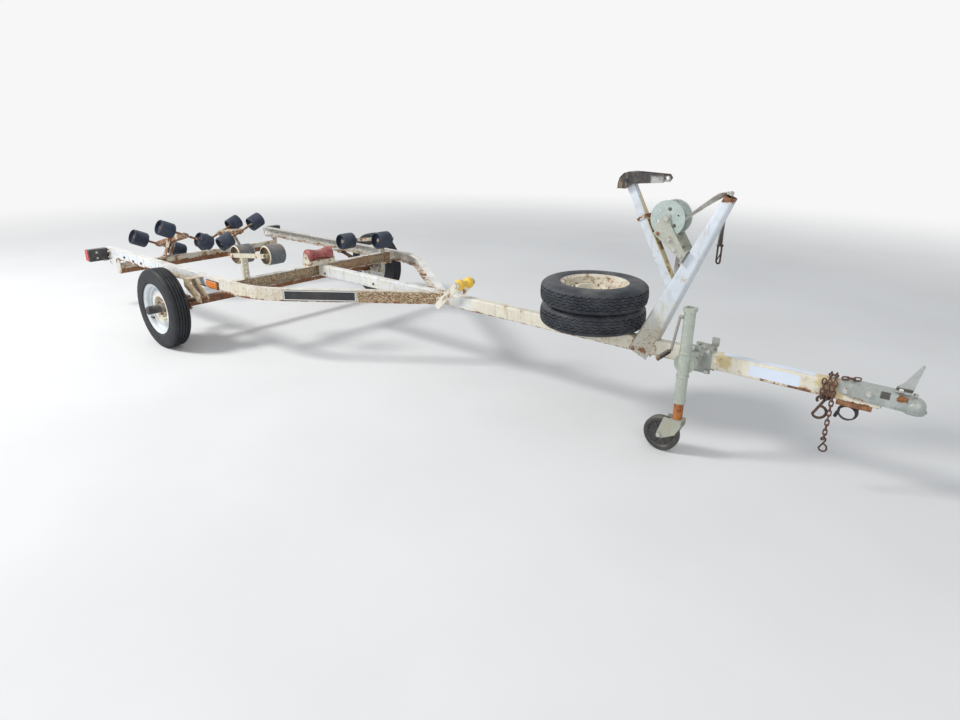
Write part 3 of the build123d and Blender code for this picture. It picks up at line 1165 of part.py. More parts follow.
# Coupler: a pressed channel over the tongue's end, with a ball socket open from below
COUPLER_WALL = 4.5
BALL_R = 25.8
SOCKET_WALL = 10.5
BALL_Z = 436.0
SOCKET_BOTTOM = 410.0
COUPLER_BOTTOM = 418.0
COUPLER_LIP = 6.0
COUPLER_LIP_THICK = 4.0
coupler_half = TONGUE_SIDE + SEAT_GAP + COUPLER_WALL
coupler_top = FRAME_TOP + SEAT_GAP + COUPLER_WALL
neck_x = TONGUE_FRONT_X + 14
with BuildPart() as coupler:
    with BuildSketch(Plane.XZ):
        with BuildLine():
            Polyline(
                (COUPLER_REAR_X, COUPLER_BOTTOM + 16),
                (COUPLER_REAR_X, coupler_top),
                (neck_x + 20, coupler_top),
                (BALL_X, BALL_Z + 28),
                (BALL_X, COUPLER_BOTTOM),
                (COUPLER_REAR_X + 60, COUPLER_BOTTOM),
                close=True,
            )
        make_face()
    extrude(amount=coupler_half, both=True)
    with BuildSketch(Plane.XY.offset(COUPLER_BOTTOM)):
        with BuildLine():
            Polyline(
                (COUPLER_REAR_X + 90, coupler_half),
                (neck_x, coupler_half + COUPLER_LIP),
                (BALL_X, BALL_R + SOCKET_WALL + COUPLER_LIP),
                (BALL_X, -BALL_R - SOCKET_WALL - COUPLER_LIP),
                (neck_x, -coupler_half - COUPLER_LIP),
                (COUPLER_REAR_X + 90, -coupler_half),
                close=True,
            )
        make_face()
        with Locations((BALL_X, 0)):
            Circle(BALL_R + SOCKET_WALL + COUPLER_LIP)
    extrude(amount=COUPLER_LIP_THICK)
    with BuildSketch(Plane.XZ):
        with BuildLine():
            Polyline(
                (BALL_X, SOCKET_BOTTOM),
                (BALL_X + BALL_R + SOCKET_WALL, SOCKET_BOTTOM),
                (BALL_X + BALL_R + SOCKET_WALL, BALL_Z),
            )
            ThreePointArc(
                (BALL_X + BALL_R + SOCKET_WALL, BALL_Z),
                (
                    BALL_X + (BALL_R + SOCKET_WALL) * cos(radians(45)),
                    BALL_Z + (BALL_R + SOCKET_WALL) * sin(radians(45)),
                ),
                (BALL_X, BALL_Z + BALL_R + SOCKET_WALL),
            )
            Line((BALL_X, BALL_Z + BALL_R + SOCKET_WALL), (BALL_X, SOCKET_BOTTOM))
        make_face()
    revolve(axis=Axis((BALL_X, 0, 0), (0, 0, 1)))
    # Room for the tongue, the hollow neck and the socket
    with Locations((COUPLER_REAR_X - 1, 0, COUPLER_BOTTOM - 20)):
        Box(
            TONGUE_FRONT_X + SEAT_GAP - COUPLER_REAR_X + 1,
            TONGUE_WIDTH + 2 * SEAT_GAP,
            FRAME_TOP + SEAT_GAP - COUPLER_BOTTOM + 20,
            align=(Align.MIN, Align.CENTER, Align.MIN),
            mode=Mode.SUBTRACT,
        )
    with Locations((TONGUE_FRONT_X, 0, SOCKET_BOTTOM - 1)):
        Box(
            BALL_X - BALL_R - SOCKET_WALL - TONGUE_FRONT_X,
            TONGUE_WIDTH,
            BALL_Z + 14 - SOCKET_BOTTOM,
            align=(Align.MIN, Align.CENTER, Align.MIN),
            mode=Mode.SUBTRACT,
        )
    with Locations((BALL_X, 0, SOCKET_BOTTOM - 1)):
        Cylinder(
            BALL_R,
            BALL_Z - SOCKET_BOTTOM + 1,
            align=(Align.CENTER, Align.CENTER, Align.MIN),
            mode=Mode.SUBTRACT,
        )
    with Locations((BALL_X, 0, BALL_Z)):
        Sphere(BALL_R, mode=Mode.SUBTRACT)
coupler.part.label = "coupler"
export_step(coupler.part, "parts/coupler.step")

# Coupler latch: a tapered lever, left raised
LATCH_WIDTH = 28.0
LATCH_BACK = 43.0
LATCH_RISE = 118.0
latch_x = BALL_X - LATCH_BACK
with BuildPart() as coupler_latch:
    with BuildSketch(Plane.XZ):
        with BuildLine():
            Polyline(
                (latch_x - 30, coupler_top + SEAT_GAP),
                (latch_x + 14, coupler_top + SEAT_GAP),
                (latch_x + 26, coupler_top + 8),
                (latch_x + 44, coupler_top + LATCH_RISE - 4),
                (latch_x + 36, coupler_top + LATCH_RISE),
                (latch_x - 8, coupler_top + 38),
                (latch_x - 30, coupler_top + 14),
                close=True,
            )
        make_face()
    extrude(amount=LATCH_WIDTH / 2, both=True)
coupler_latch.part.label = "coupler_latch"
export_step(coupler_latch.part, "parts/coupler_latch.step")

# Chain hanger: a rusty angle under the tongue behind the coupler
CHAIN_HANGER_LENGTH = 128.0
CHAIN_HANGER_WIDTH = 46.0
CHAIN_HANGER_DROP = 20.0
CHAIN_HANGER_BACK = 90.0
with BuildPart() as chain_hanger:
    with BuildSketch(Plane.YZ.offset(TONGUE_FRONT_X - CHAIN_HANGER_BACK - CHAIN_HANGER_LENGTH / 2)):
        with Locations((0, FRAME_BOTTOM)):
            Rectangle(CHAIN_HANGER_WIDTH, CHAIN_HANGER_DROP, align=(Align.CENTER, Align.MAX))
        with Locations((4, FRAME_BOTTOM - 4)):
            Rectangle(CHAIN_HANGER_WIDTH, CHAIN_HANGER_DROP, align=(Align.CENTER, Align.MAX), mode=Mode.SUBTRACT)
    extrude(amount=CHAIN_HANGER_LENGTH)
chain_hanger.part.label = "chain_hanger"
export_step(chain_hanger.part, "parts/chain_hanger.step")

# Safety chains: links wound round the tongue, with two loose ends and their hooks
LINK_WIRE = 5.5
LINK_INNER = 22.0
LINK_WIDTH = 19.0
LINK_PITCH = LINK_INNER - 0.6
CHAIN_SET = 9.8
WRAP_BACK = 52.0
WRAP_PITCH = 20.0
with BuildPart() as link_form:
    with BuildSketch(Plane.XY):
        long_half = LINK_INNER / 2 + LINK_WIRE
        wide_half = LINK_WIDTH / 2
        corner = 6.0
        with BuildLine():
            Polyline(
                (-long_half, -wide_half + corner),
                (-long_half + corner, -wide_half),
                (long_half - corner, -wide_half),
                (long_half, -wide_half + corner),
                (long_half, wide_half - corner),
                (long_half - corner, wide_half),
                (-long_half + corner, wide_half),
                (-long_half, wide_half - corner),
                close=True,
            )
        make_face()
        Rectangle(LINK_INNER, LINK_WIDTH - 2 * LINK_WIRE, mode=Mode.SUBTRACT)
    extrude(amount=LINK_WIRE / 2, both=True)
wrap_y = TONGUE_SIDE + CHAIN_SET
wrap_top = FRAME_TOP + CHAIN_SET
wrap_bottom = FRAME_BOTTOM - CHAIN_SET
wrap_x = COUPLER_REAR_X - WRAP_BACK
pile_z = FRAME_TOP + SEAT_GAP + COUPLER_WALL + CHAIN_SET
# Chain runs: where each starts, which way it goes and how long it is
CHAIN_RUNS = [
    ((wrap_x, -wrap_y, wrap_top - 8), (0, 0, -1), 150.0),
    ((COUPLER_REAR_X + 6, -12, pile_z), (1, 0.5, 0), 64.0),
]
for turn, down in ((0, 86.0), (1, 257.0)):
    x = wrap_x + turn * WRAP_PITCH
    CHAIN_RUNS += [
        ((x, -wrap_y + 12, wrap_bottom), (0.12, 1, 0), 43.0),
        ((x + 8, wrap_y, wrap_bottom + 12), (0, 0, 1), 86.0),
        ((x + 10, wrap_y - 12, wrap_top), (0.12, -1, 0), 43.0),
        ((x + WRAP_PITCH, -wrap_y, wrap_top - 8), (0, 0, -1), down),
    ]
links = []
for start, way, length in CHAIN_RUNS:
    count = int(round(length / LINK_PITCH))
    run_dir = Vector(way).normalized()
    flat = Vector(0, 1, 0) if abs(run_dir.Y) < 0.5 else Vector(0, 0, 1)
    for step in range(count):
        link_z = flat if step % 2 == 0 else run_dir.cross(flat)
        place = Vector(start) + run_dir * (LINK_PITCH * (step + 0.5))
        links.append(link_form.part.moved(Location(Plane(origin=place, x_dir=run_dir, z_dir=link_z))))
with BuildPart() as safety_chains:
    add(links)
safety_chains.part.label = "safety_chains"
export_step(safety_chains.part, "parts/safety_chains.step")

# Tongue jack on the right side: mount, tube with cap, crank, leg, fork and wheel
JACK_Y = -150.0
JACK_TUBE_R = 25.0
JACK_TUBE_WALL = 2.8
JACK_TUBE_BOTTOM = 258.0
JACK_TUBE_TOP = 688.0
JACK_CAP = 52.0
JACK_CAP_HEIGHT = 18.0
JACK_PIVOT_Z = 440.0
JACK_PLATE = 6.0
JACK_PLATE_WIDTH = 96.0
JACK_PLATE_HEIGHT = 122.0
JACK_PIVOT_R = 16.0
JACK_DISC_R = 46.0
JACK_LEG_R = 21.5
JACK_LEG_BOTTOM = 178.0
JACK_LEG_TOP = 590.0
JACK_WHEEL_R = 85.0
JACK_WHEEL_WIDTH = 42.0
JACK_TRAIL = 66.0
JACK_CROWN = 6.0
FORK_PLATE = 4.0
FORK_GAP = 4.0
jack_disc_y = JACK_Y + JACK_TUBE_R + 8
with BuildPart() as jack_mount:
    for plate_side in (-1, 1):
        with Locations((JACK_X + 28, plate_side * (TONGUE_SIDE + JACK_PLATE / 2), FRAME_MID)):
            Box(JACK_PLATE_WIDTH, JACK_PLATE, JACK_PLATE_HEIGHT)
        for bolt_z in (FRAME_TOP + 11, FRAME_BOTTOM - 11):
            for bolt_x in (-34, 34):
                with Locations((JACK_X + 28 + bolt_x, 0, bolt_z)):
                    Cylinder(5.5, TONGUE_WIDTH + 2 * JACK_PLATE + 22, rotation=(90, 0, 0))
    with BuildSketch(Plane(origin=(JACK_X, -TONGUE_SIDE - JACK_PLATE, JACK_PIVOT_Z), x_dir=(1, 0, 0), z_dir=(0, -1, 0))):
        with Locations((14, 0)):
            Rectangle(56, 64)
    extrude(amount=-(jack_disc_y + 8 + RUNNING_GAP) - TONGUE_SIDE - JACK_PLATE)
    with BuildSketch(Plane(origin=(JACK_X, -TONGUE_SIDE - JACK_PLATE, JACK_PIVOT_Z), x_dir=(1, 0, 0), z_dir=(0, -1, 0))):
        Circle(JACK_PIVOT_R)
    extrude(amount=-(jack_disc_y + 1) - TONGUE_SIDE - JACK_PLATE)
jack_mount.part.label = "jack_mount"
export_step(jack_mount.part, "parts/jack_mount.step")
with BuildPart() as jack_tube:
    with BuildSketch(Plane.XY.offset(JACK_TUBE_BOTTOM)):
        with Locations((JACK_X, JACK_Y)):
            Circle(JACK_TUBE_R)
    extrude(amount=JACK_TUBE_TOP - JACK_TUBE_BOTTOM)
    with BuildSketch(Plane.XY.offset(JACK_TUBE_TOP - 6)):
        with Locations((JACK_X, JACK_Y)):
            RectangleRounded(JACK_CAP, JACK_CAP - 4, 8)
    extrude(amount=JACK_CAP_HEIGHT)
    with BuildSketch(Plane(origin=(JACK_X, JACK_Y, JACK_PIVOT_Z), x_dir=(1, 0, 0), z_dir=(0, 1, 0))):
        Circle(JACK_DISC_R)
    extrude(amount=jack_disc_y + 8 - JACK_Y)
    with BuildSketch(Plane(origin=(JACK_X, jack_disc_y, JACK_PIVOT_Z), x_dir=(1, 0, 0), z_dir=(0, 1, 0))):
        Circle(JACK_PIVOT_R + RUNNING_GAP)
    extrude(amount=20, mode=Mode.SUBTRACT)
    with BuildSketch(Plane.XY.offset(JACK_TUBE_BOTTOM)):
        with Locations((JACK_X, JACK_Y)):
            Circle(JACK_TUBE_R - JACK_TUBE_WALL)
    extrude(amount=JACK_TUBE_TOP - JACK_TUBE_BOTTOM - 8, mode=Mode.SUBTRACT)
    with BuildSketch(Plane.XY.offset(JACK_TUBE_TOP + JACK_CAP_HEIGHT - 6)):
        with Locations((JACK_X, JACK_Y)):
            RectangleRounded(32, 32, 5)
    extrude(amount=-10, mode=Mode.SUBTRACT)
jack_tube.part.label = "jack_tube"
export_step(jack_tube.part, "parts/jack_tube.step")

# Jack crank: a rod folded down behind the tube, with a black grip
JACK_ROD_R = 6.0
JACK_GRIP_R = 11.0
JACK_ROD_TOP = 34.0
JACK_ROD_DROP = 190.0
rod_top = Vector(JACK_X - JACK_TUBE_R - 12, JACK_Y - 12, JACK_TUBE_TOP - JACK_ROD_TOP)
rod_bottom = Vector(JACK_X - JACK_TUBE_R - 34, JACK_Y - 14, JACK_TUBE_TOP - JACK_ROD_DROP)
grip_end = rod_bottom + Vector(-54, -20, -50)
# Crank rods: start, end and radius
CRANK_RODS = (
    (Vector(JACK_X - JACK_TUBE_R + 1, JACK_Y - 8, rod_top.Z), rod_top + Vector(-2, 0, 0), JACK_ROD_R + 2),
    (rod_top, rod_bottom, JACK_ROD_R),
    (rod_bottom, grip_end, JACK_ROD_R),
    (rod_bottom + (grip_end - rod_bottom) * 0.12, grip_end, JACK_GRIP_R),
)
with BuildPart() as jack_crank:
    for start, end, radius in CRANK_RODS:
        with BuildSketch(Plane(origin=start, z_dir=end - start)):
            Circle(radius)
        extrude(amount=(end - start).length)
    for joint in (rod_top, rod_bottom):
        with Locations(joint):
            Sphere(JACK_ROD_R + 0.5)
jack_crank.part.label = "jack_crank"
export_step(jack_crank.part, "parts/jack_crank.step")
with BuildPart() as jack_leg:
    with BuildSketch(Plane.XY.offset(JACK_LEG_BOTTOM)):
        with Locations((JACK_X, JACK_Y)):
            Circle(JACK_LEG_R)
    extrude(amount=JACK_LEG_TOP - JACK_LEG_BOTTOM)
jack_leg.part.label = "jack_leg"
export_step(jack_leg.part, "parts/jack_leg.step")
fork_half = JACK_WHEEL_WIDTH / 2 + FORK_GAP
fork_top = JACK_LEG_BOTTOM - RUNNING_GAP
wheel_x = JACK_X - JACK_TRAIL
with BuildPart() as jack_fork:
    with Locations((JACK_X + 4, JACK_Y, fork_top)):
        Box(52, 2 * (fork_half + FORK_PLATE), JACK_CROWN, align=(Align.CENTER, Align.CENTER, Align.MAX))
    for way in (-1, 1):
        with BuildSketch(Plane.XZ.offset(-(JACK_Y + way * (fork_half + FORK_PLATE / 2)))):
            with BuildLine():
                Polyline(
                    (JACK_X - 52, fork_top),
                    (JACK_X + 30, fork_top),
                    (JACK_X + 30, fork_top - 30),
                    (JACK_X + 6, fork_top - 76),
                    (wheel_x + 12, JACK_WHEEL_R - 15),
                    (wheel_x - 10, JACK_WHEEL_R - 13),
                    (wheel_x - 15, JACK_WHEEL_R + 4),
                    close=True,
                )
            make_face()
        extrude(amount=FORK_PLATE / 2, both=True)
    with Locations((wheel_x, JACK_Y, JACK_WHEEL_R)):
        Cylinder(6, 2 * (fork_half + FORK_PLATE) + 14, rotation=(90, 0, 0))
jack_fork.part.label = "jack_fork"
export_step(jack_fork.part, "parts/jack_fork.step")
with BuildPart() as jack_wheel:
    with BuildSketch(Plane(origin=(wheel_x, JACK_Y, JACK_WHEEL_R), x_dir=(0, 0, 1), z_dir=(1, 0, 0))):
        with BuildLine():
            half = JACK_WHEEL_WIDTH / 2
            Polyline(
                (6 + RUNNING_GAP, -half),
                (18, -half),
                (22, -half + 8),
                (JACK_WHEEL_R - 26, -half + 8),
                (JACK_WHEEL_R - 20, -half + 1),
                (JACK_WHEEL_R - 7, -half + 1),
                (JACK_WHEEL_R, -half + 9),
                (JACK_WHEEL_R, half - 9),
                (JACK_WHEEL_R - 7, half - 1),
                (JACK_WHEEL_R - 20, half - 1),
                (JACK_WHEEL_R - 26, half - 8),
                (22, half - 8),
                (18, half),
                (6 + RUNNING_GAP, half),
                close=True,
            )
        make_face()
    revolve(axis=Axis((wheel_x, JACK_Y, JACK_WHEEL_R), (0, 1, 0)))
jack_wheel.part.label = "jack_wheel"
export_step(jack_wheel.part, "parts/jack_wheel.step")

# Tail lamps: black housings on the rails' rear ends, with red lenses
LAMP_DEPTH = 52.0
LAMP_WIDTH = 140.0
LAMP_HEIGHT = 92.0
LAMP_LENS = 22.0
LAMP_Z = 424.0
LAMP_BRACKET = 5.0
lamp_x = RAIL_REAR_X + 16
with BuildPart() as tail_lamps:
    for side, sign in SIDES:
        with Locations((lamp_x, sign * (RAIL_HALF_WIDTH + LAMP_WIDTH / 2 + LAMP_BRACKET), LAMP_Z)):
            Box(LAMP_DEPTH, LAMP_WIDTH, LAMP_HEIGHT)
        with Locations((lamp_x, sign * RAIL_HALF_WIDTH, LAMP_Z)):
            Box(
                LAMP_DEPTH + 20,
                LAMP_BRACKET,
                LAMP_HEIGHT - 16,
                align=(Align.CENTER, Align.MIN if sign > 0 else Align.MAX, Align.CENTER),
            )
tail_lamps.part.label = "tail_lamps"
export_step(tail_lamps.part, "parts/tail_lamps.step")
with BuildPart() as tail_lenses:
    for side, sign in SIDES:
        with Locations(
            (
                lamp_x - LAMP_DEPTH / 2 - LAMP_LENS / 2,
                sign * (RAIL_HALF_WIDTH + LAMP_WIDTH / 2 + LAMP_BRACKET),
                LAMP_Z,
            )
        ):
            Box(LAMP_LENS, LAMP_WIDTH - 6, LAMP_HEIGHT - 6)
    fillet(tail_lenses.edges().group_by(Axis.X)[0], 6)
tail_lenses.part.label = "tail_lenses"
export_step(tail_lenses.part, "parts/tail_lenses.step")

# Side marker lamps on the rails
MARKER_AHEAD = 235.0
MARKER_LENGTH = 66.0
MARKER_HEIGHT = 40.0
MARKER_DEPTH = 16.0
with BuildPart() as side_markers:
    for side, sign in SIDES:
        with Locations((AXLE_X + MARKER_AHEAD, sign * RAIL_HALF_WIDTH, FRAME_MID - 4)):
            Box(
                MARKER_LENGTH,
                MARKER_DEPTH,
                MARKER_HEIGHT,
                align=(Align.CENTER, Align.MIN if sign > 0 else Align.MAX, Align.CENTER),
            )
    fillet(side_markers.edges().filter_by(Axis.Y), 6)
side_markers.part.label = "side_markers"
export_step(side_markers.part, "parts/side_markers.step")
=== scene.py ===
"""Looks of a single axle roller boat trailer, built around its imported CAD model."""

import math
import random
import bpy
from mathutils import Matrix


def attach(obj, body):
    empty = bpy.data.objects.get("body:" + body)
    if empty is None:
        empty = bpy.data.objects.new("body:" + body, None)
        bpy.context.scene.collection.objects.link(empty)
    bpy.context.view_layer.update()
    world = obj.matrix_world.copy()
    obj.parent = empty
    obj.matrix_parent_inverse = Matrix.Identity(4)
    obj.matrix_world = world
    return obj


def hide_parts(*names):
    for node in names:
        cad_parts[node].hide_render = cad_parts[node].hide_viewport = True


bl_info = {
    "name": "Roller boat trailer",
    "version": (1, 0, 0),
    "blender": (4, 5, 0),
    "location": "View3D > Sidebar > Trailer",
    "description": "Finishes and small parts of a weathered roller boat trailer",
    "category": "Object",
}

import bmesh
import bpy
from mathutils import Matrix, Vector

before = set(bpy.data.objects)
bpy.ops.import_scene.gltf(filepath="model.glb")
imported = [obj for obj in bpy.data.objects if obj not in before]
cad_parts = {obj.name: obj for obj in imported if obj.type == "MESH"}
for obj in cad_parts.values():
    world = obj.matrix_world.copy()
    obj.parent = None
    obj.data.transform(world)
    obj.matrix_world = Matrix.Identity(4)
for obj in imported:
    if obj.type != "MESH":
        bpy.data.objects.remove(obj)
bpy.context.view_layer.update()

# Metres, in the frame of the CAD: +X to the coupler, +Y to the trailer's left, +Z up
AXLE_X = -1.3445
AXLE_Z = 0.265
WHEEL_Y = 0.936
TYRE_R = 0.265
FRAME_TOP = 0.475
FRAME_BOTTOM = 0.399
TONGUE_HALF = 0.0255
REAR_CROSS_X = -2.5345
SPRING_Y = 0.800
SPARES = ((1.3455, 0.012, 0.5343), (1.3635, -0.018, 0.6529))
SIDES = (("right", -1), ("left", 1))


# Node helpers


class Field:
    """A value that changes over a surface. Arithmetic on it adds the nodes."""

    def __init__(self, socket):
        self.socket = socket
        self.tree = socket.id_data

    def maths(self, operation, a, b=0.0):
        return Field(add(self.tree, "ShaderNodeMath", {0: a, 1: b}, operation=operation).outputs[0])

    def __add__(self, other):
        return self.maths("ADD", self, other)

    def __radd__(self, other):
        return self.maths("ADD", other, self)

    def __sub__(self, other):
        return self.maths("SUBTRACT", self, other)

    def __rsub__(self, other):
        return self.maths("SUBTRACT", other, self)

    def __mul__(self, other):
        return self.maths("MULTIPLY", self, other)

    def __truediv__(self, other):
        return self.maths("DIVIDE", self, other)

    def __abs__(self):
        return self.maths("ABSOLUTE", self)

    def highest(self, other):
        return self.maths("MAXIMUM", self, other)

    def clamped(self):
        self.socket.node.use_clamp = True
        return self

    def ramp(self, low, high, out_low=0.0, out_high=1.0):
        span = {"Value": self, "From Min": low, "From Max": high, "To Min": out_low, "To Max": out_high}
        return Field(add(self.tree, "ShaderNodeMapRange", span, interpolation_type="SMOOTHSTEP").outputs[0])

    def vector(self, operation, other=None, give=0):
        inputs = {0: self} if other is None else {0: self, 1: other}
        return Field(add(self.tree, "ShaderNodeVectorMath", inputs, operation=operation).outputs[give])

    def axes(self):
        return [Field(plug) for plug in add(self.tree, "ShaderNodeSeparateXYZ", {0: self}).outputs]


def feed(node, inputs):
    """Sets a node's inputs to values or links them to fields."""
    for key, value in inputs.items():
        if isinstance(value, Field):
            node.id_data.links.new(value.socket, node.inputs[key])
        else:
            node.inputs[key].default_value = value


def add(tree, kind, inputs=None, **settings):
    node = tree.nodes.new(kind)
    for key, value in settings.items():
        setattr(node, key, value)
    feed(node, inputs or {})
    return node


def mix(share, a, b):
    """Colour a that passes into colour b where share is 1."""
    a, b = (colour if isinstance(colour, Field) else (*colour, 1.0) for colour in (a, b))
    return Field(add(share.tree, "ShaderNodeMix", {0: share, 6: a, 7: b}, data_type="RGBA").outputs[2])


def noise(where, scale, detail=6.0, roughness=0.6):
    inputs = {"Vector": where, "Scale": scale, "Detail": detail, "Roughness": roughness}
    return Field(add(where.tree, "ShaderNodeTexNoise", inputs).outputs["Fac"])


def wave(where, direction, scale, **inputs):
    inputs = {"Vector": where, "Scale": scale, **inputs}
    return Field(add(where.tree, "ShaderNodeTexWave", inputs, bands_direction=direction).outputs["Fac"])


def cells(where, scale, feature):
    inputs = {"Vector": where, "Scale": scale}
    return Field(add(where.tree, "ShaderNodeTexVoronoi", inputs, feature=feature).outputs["Distance"])


def normal(tree):
    return Field(add(tree, "ShaderNodeNewGeometry").outputs["Normal"])


def group(name, inputs, outputs):
    """A shared effect. inputs: each name's default, None for a place on the surface."""
    tree = bpy.data.node_groups.new(name, "ShaderNodeTree")
    for label, default in inputs.items():
        kind = "Float" if isinstance(default, float) else "Vector"
        if kind == "Vector" and default and len(default) == 4:
            kind = "Color"
        socket = tree.interface.new_socket(label, in_out="INPUT", socket_type=f"NodeSocket{kind}")
        if default is not None:
            socket.default_value = default
    for label in outputs:
        kind = "Color" if label == "Colour" else "Float"
        tree.interface.new_socket(label, in_out="OUTPUT", socket_type=f"NodeSocket{kind}")
    into = tree.nodes.new("NodeGroupInput")
    return {label: Field(into.outputs[label]) for label in inputs}, tree.nodes.new("NodeGroupOutput")


def use(name, where, inputs):
    """A shared effect placed in a material, as its outputs."""
    node = add(where.tree, "ShaderNodeGroup", node_tree=bpy.data.node_groups[name])
    feed(node, {"Vector": where, **inputs})
    return {plug.name: Field(plug) for plug in node.outputs}


# Shared effects

GREY = (0.5, 0.5, 0.5, 1.0)


def rust_blotches():
    """Rust that breaks through in blotches, more where Amount is higher."""
    spread = {"Vector": None, "Amount": 0.2, "Scale": 14.0}
    into, out = group("Rust blotches", spread, ("Mask", "Stain", "Colour"))
    fine = noise(into["Vector"], into["Scale"] * 7.0, 6.0, 0.7)
    mixed = noise(into["Vector"], into["Scale"], 10.0, 0.68) * 0.72 + fine * 0.28
    over = mixed - (0.74 - into["Amount"] * 0.44)
    tone = noise(into["Vector"], into["Scale"] * 3.0, 8.0, 0.7)
    deep = mix(tone.ramp(0.35, 0.65), (0.085, 0.036, 0.018), (0.30, 0.115, 0.040))
    light = mix(fine.ramp(0.55, 0.75), deep, (0.46, 0.22, 0.09))
    feed(out, {"Mask": over.ramp(0.0, 0.035), "Stain": over.ramp(-0.09, 0.03), "Colour": light})


def zone_mask():
    """1 inside a box in the object's own frame, 0 outside, with a ragged border."""
    box = {"Vector": None, "Centre": (0.0, 0.0, 0.0), "Half Size": (0.1, 0.1, 0.1), "Border": 0.02}
    into, out = group("Zone", box, ("Mask",))
    apart = into["Vector"].vector("SUBTRACT", into["Centre"]).vector("ABSOLUTE")
    x, y, z = apart.vector("SUBTRACT", into["Half Size"]).axes()
    rag = noise(into["Vector"], 22.0, 5.0, 0.6) - 0.5
    ragged = x.highest(y).highest(z) + rag * (into["Border"] * 3.0)
    feed(out, {"Mask": (ragged / into["Border"]).ramp(-1.0, 1.0, 1.0, 0.0)})


def edge_wear():
    """Paint chipped from the edges."""
    into, out = group("Edge wear", {"Vector": None, "Radius": 0.003, "Amount": 0.5}, ("Mask",))
    soft = Field(add(out.id_data, "ShaderNodeBevel", {"Radius": into["Radius"]}, samples=4).outputs[0])
    edge = soft.vector("DOT_PRODUCT", normal(out.id_data), "Value").ramp(0.86, 0.995, 1.0, 0.0)
    chip = noise(into["Vector"], 70.0, 6.0, 0.7).ramp(0.42, 0.62)
    feed(out, {"Mask": (edge * chip * into["Amount"]).clamped()})


def dust_layer():
    """Dust that lies on what faces up, and a thin film of dirt everywhere."""
    dirt = {"Vector": None, "Colour": GREY, "Dust Colour": (0.42, 0.36, 0.28, 1.0), "Amount": 0.3}
    into, out = group("Dust", dirt, ("Colour", "Mask"))
    up = normal(out.id_data).axes()[2].ramp(0.1, 0.95)
    cloud = noise(into["Vector"], 9.0, 8.0, 0.65).ramp(0.35, 0.72)
    speck = noise(into["Vector"], 160.0, 3.0, 0.6).ramp(0.5, 0.75)
    total = ((cloud * 0.35 + up * (cloud + speck * 0.5)) * into["Amount"]).clamped()
    feed(out, {"Colour": mix(total, into["Colour"], into["Dust Colour"]), "Mask": total})


def water_streaks():
    """Runs of dirty water down a side."""
    into, out = group("Streaks", {"Vector": None, "Amount": 0.3, "Scale": 60.0}, ("Mask",))
    thin = into["Vector"].vector("MULTIPLY", (1.0, 1.0, 0.09))
    run = noise(thin, into["Scale"], 4.0, 0.55).ramp(0.52, 0.70)
    patch = noise(into["Vector"], 5.0, 3.0, 0.5).ramp(0.40, 0.62)
    feed(out, {"Mask": (run * patch * into["Amount"]).clamped()})


def stained_specks():
    """Fine specks in rows on stained paint."""
    stained = {"Vector": None, "Colour": GREY, "Mask": 1.0, "Ground": GREY, "Dots": GREY, "Cover": 0.5}
    into, out = group("Specks", stained, ("Colour",))
    grain = noise(into["Vector"].vector("MULTIPLY", (1.0, 1.0, 2.2)), 78.0, 3.0, 0.65)
    dots = (grain - (0.60 - into["Cover"] * 0.22)).ramp(0.0, 0.03)
    ground = mix(into["Mask"] * 0.92, into["Colour"], into["Ground"])
    feed(out, {"Colour": mix(dots * into["Mask"], ground, into["Dots"])})


def build_effects():
    rust_blotches()
    zone_mask()
    edge_wear()
    dust_layer()
    water_streaks()
    stained_specks()


def zone(where, row):
    """Mask of a box given by its centre, half size and border. A fifth value leans it about Y, in degrees."""
    centre, half, border = row[:3]
    if len(row) > 4:
        lean = {"Vector": where, "Center": centre, "Angle": math.radians(row[4])}
        where = Field(add(where.tree, "ShaderNodeVectorRotate", lean, rotation_type="Y_AXIS").outputs[0])
    return use("Zone", where, {"Centre": centre, "Half Size": half, "Border": border})["Mask"]


def raised(level, where, rows):
    """A base level raised to each zone's amount inside that zone."""
    for row in rows:
        level = where.maths("MAXIMUM", level, zone(where, row) * row[3])
    return level


def patched(colour, where, rows):
    """A colour with each zone's own colour over it."""
    for row in rows:
        colour = mix(zone(where, row), colour, row[3])
    return colour


def from_shaft(where, centre):
    """Distance from a shaft along Y."""
    flat = where.vector("SUBTRACT", centre).vector("MULTIPLY", (1.0, 0.0, 1.0))
    return flat.vector("LENGTH", give="Value")


# Kinds of finish


def material(name):
    made = bpy.data.materials.new(name)
    made.use_nodes = True
    tree = made.node_tree
    tree.nodes.clear()
    shader = add(tree, "ShaderNodeBsdfPrincipled")
    add(tree, "ShaderNodeOutputMaterial", {"Surface": Field(shader.outputs[0])})
    return made, shader, Field(add(tree, "ShaderNodeTexCoord").outputs["Object"])


def finish(made, shader, colour, rough, height, strength, distance):
    """Gives the shader its colour, roughness and bump."""
    relief = {"Strength": strength, "Distance": distance, "Height": height}
    bump = Field(add(shader.id_data, "ShaderNodeBump", relief).outputs[0])
    feed(shader, {"Base Color": colour, "Roughness": rough, "Normal": bump})
    return made


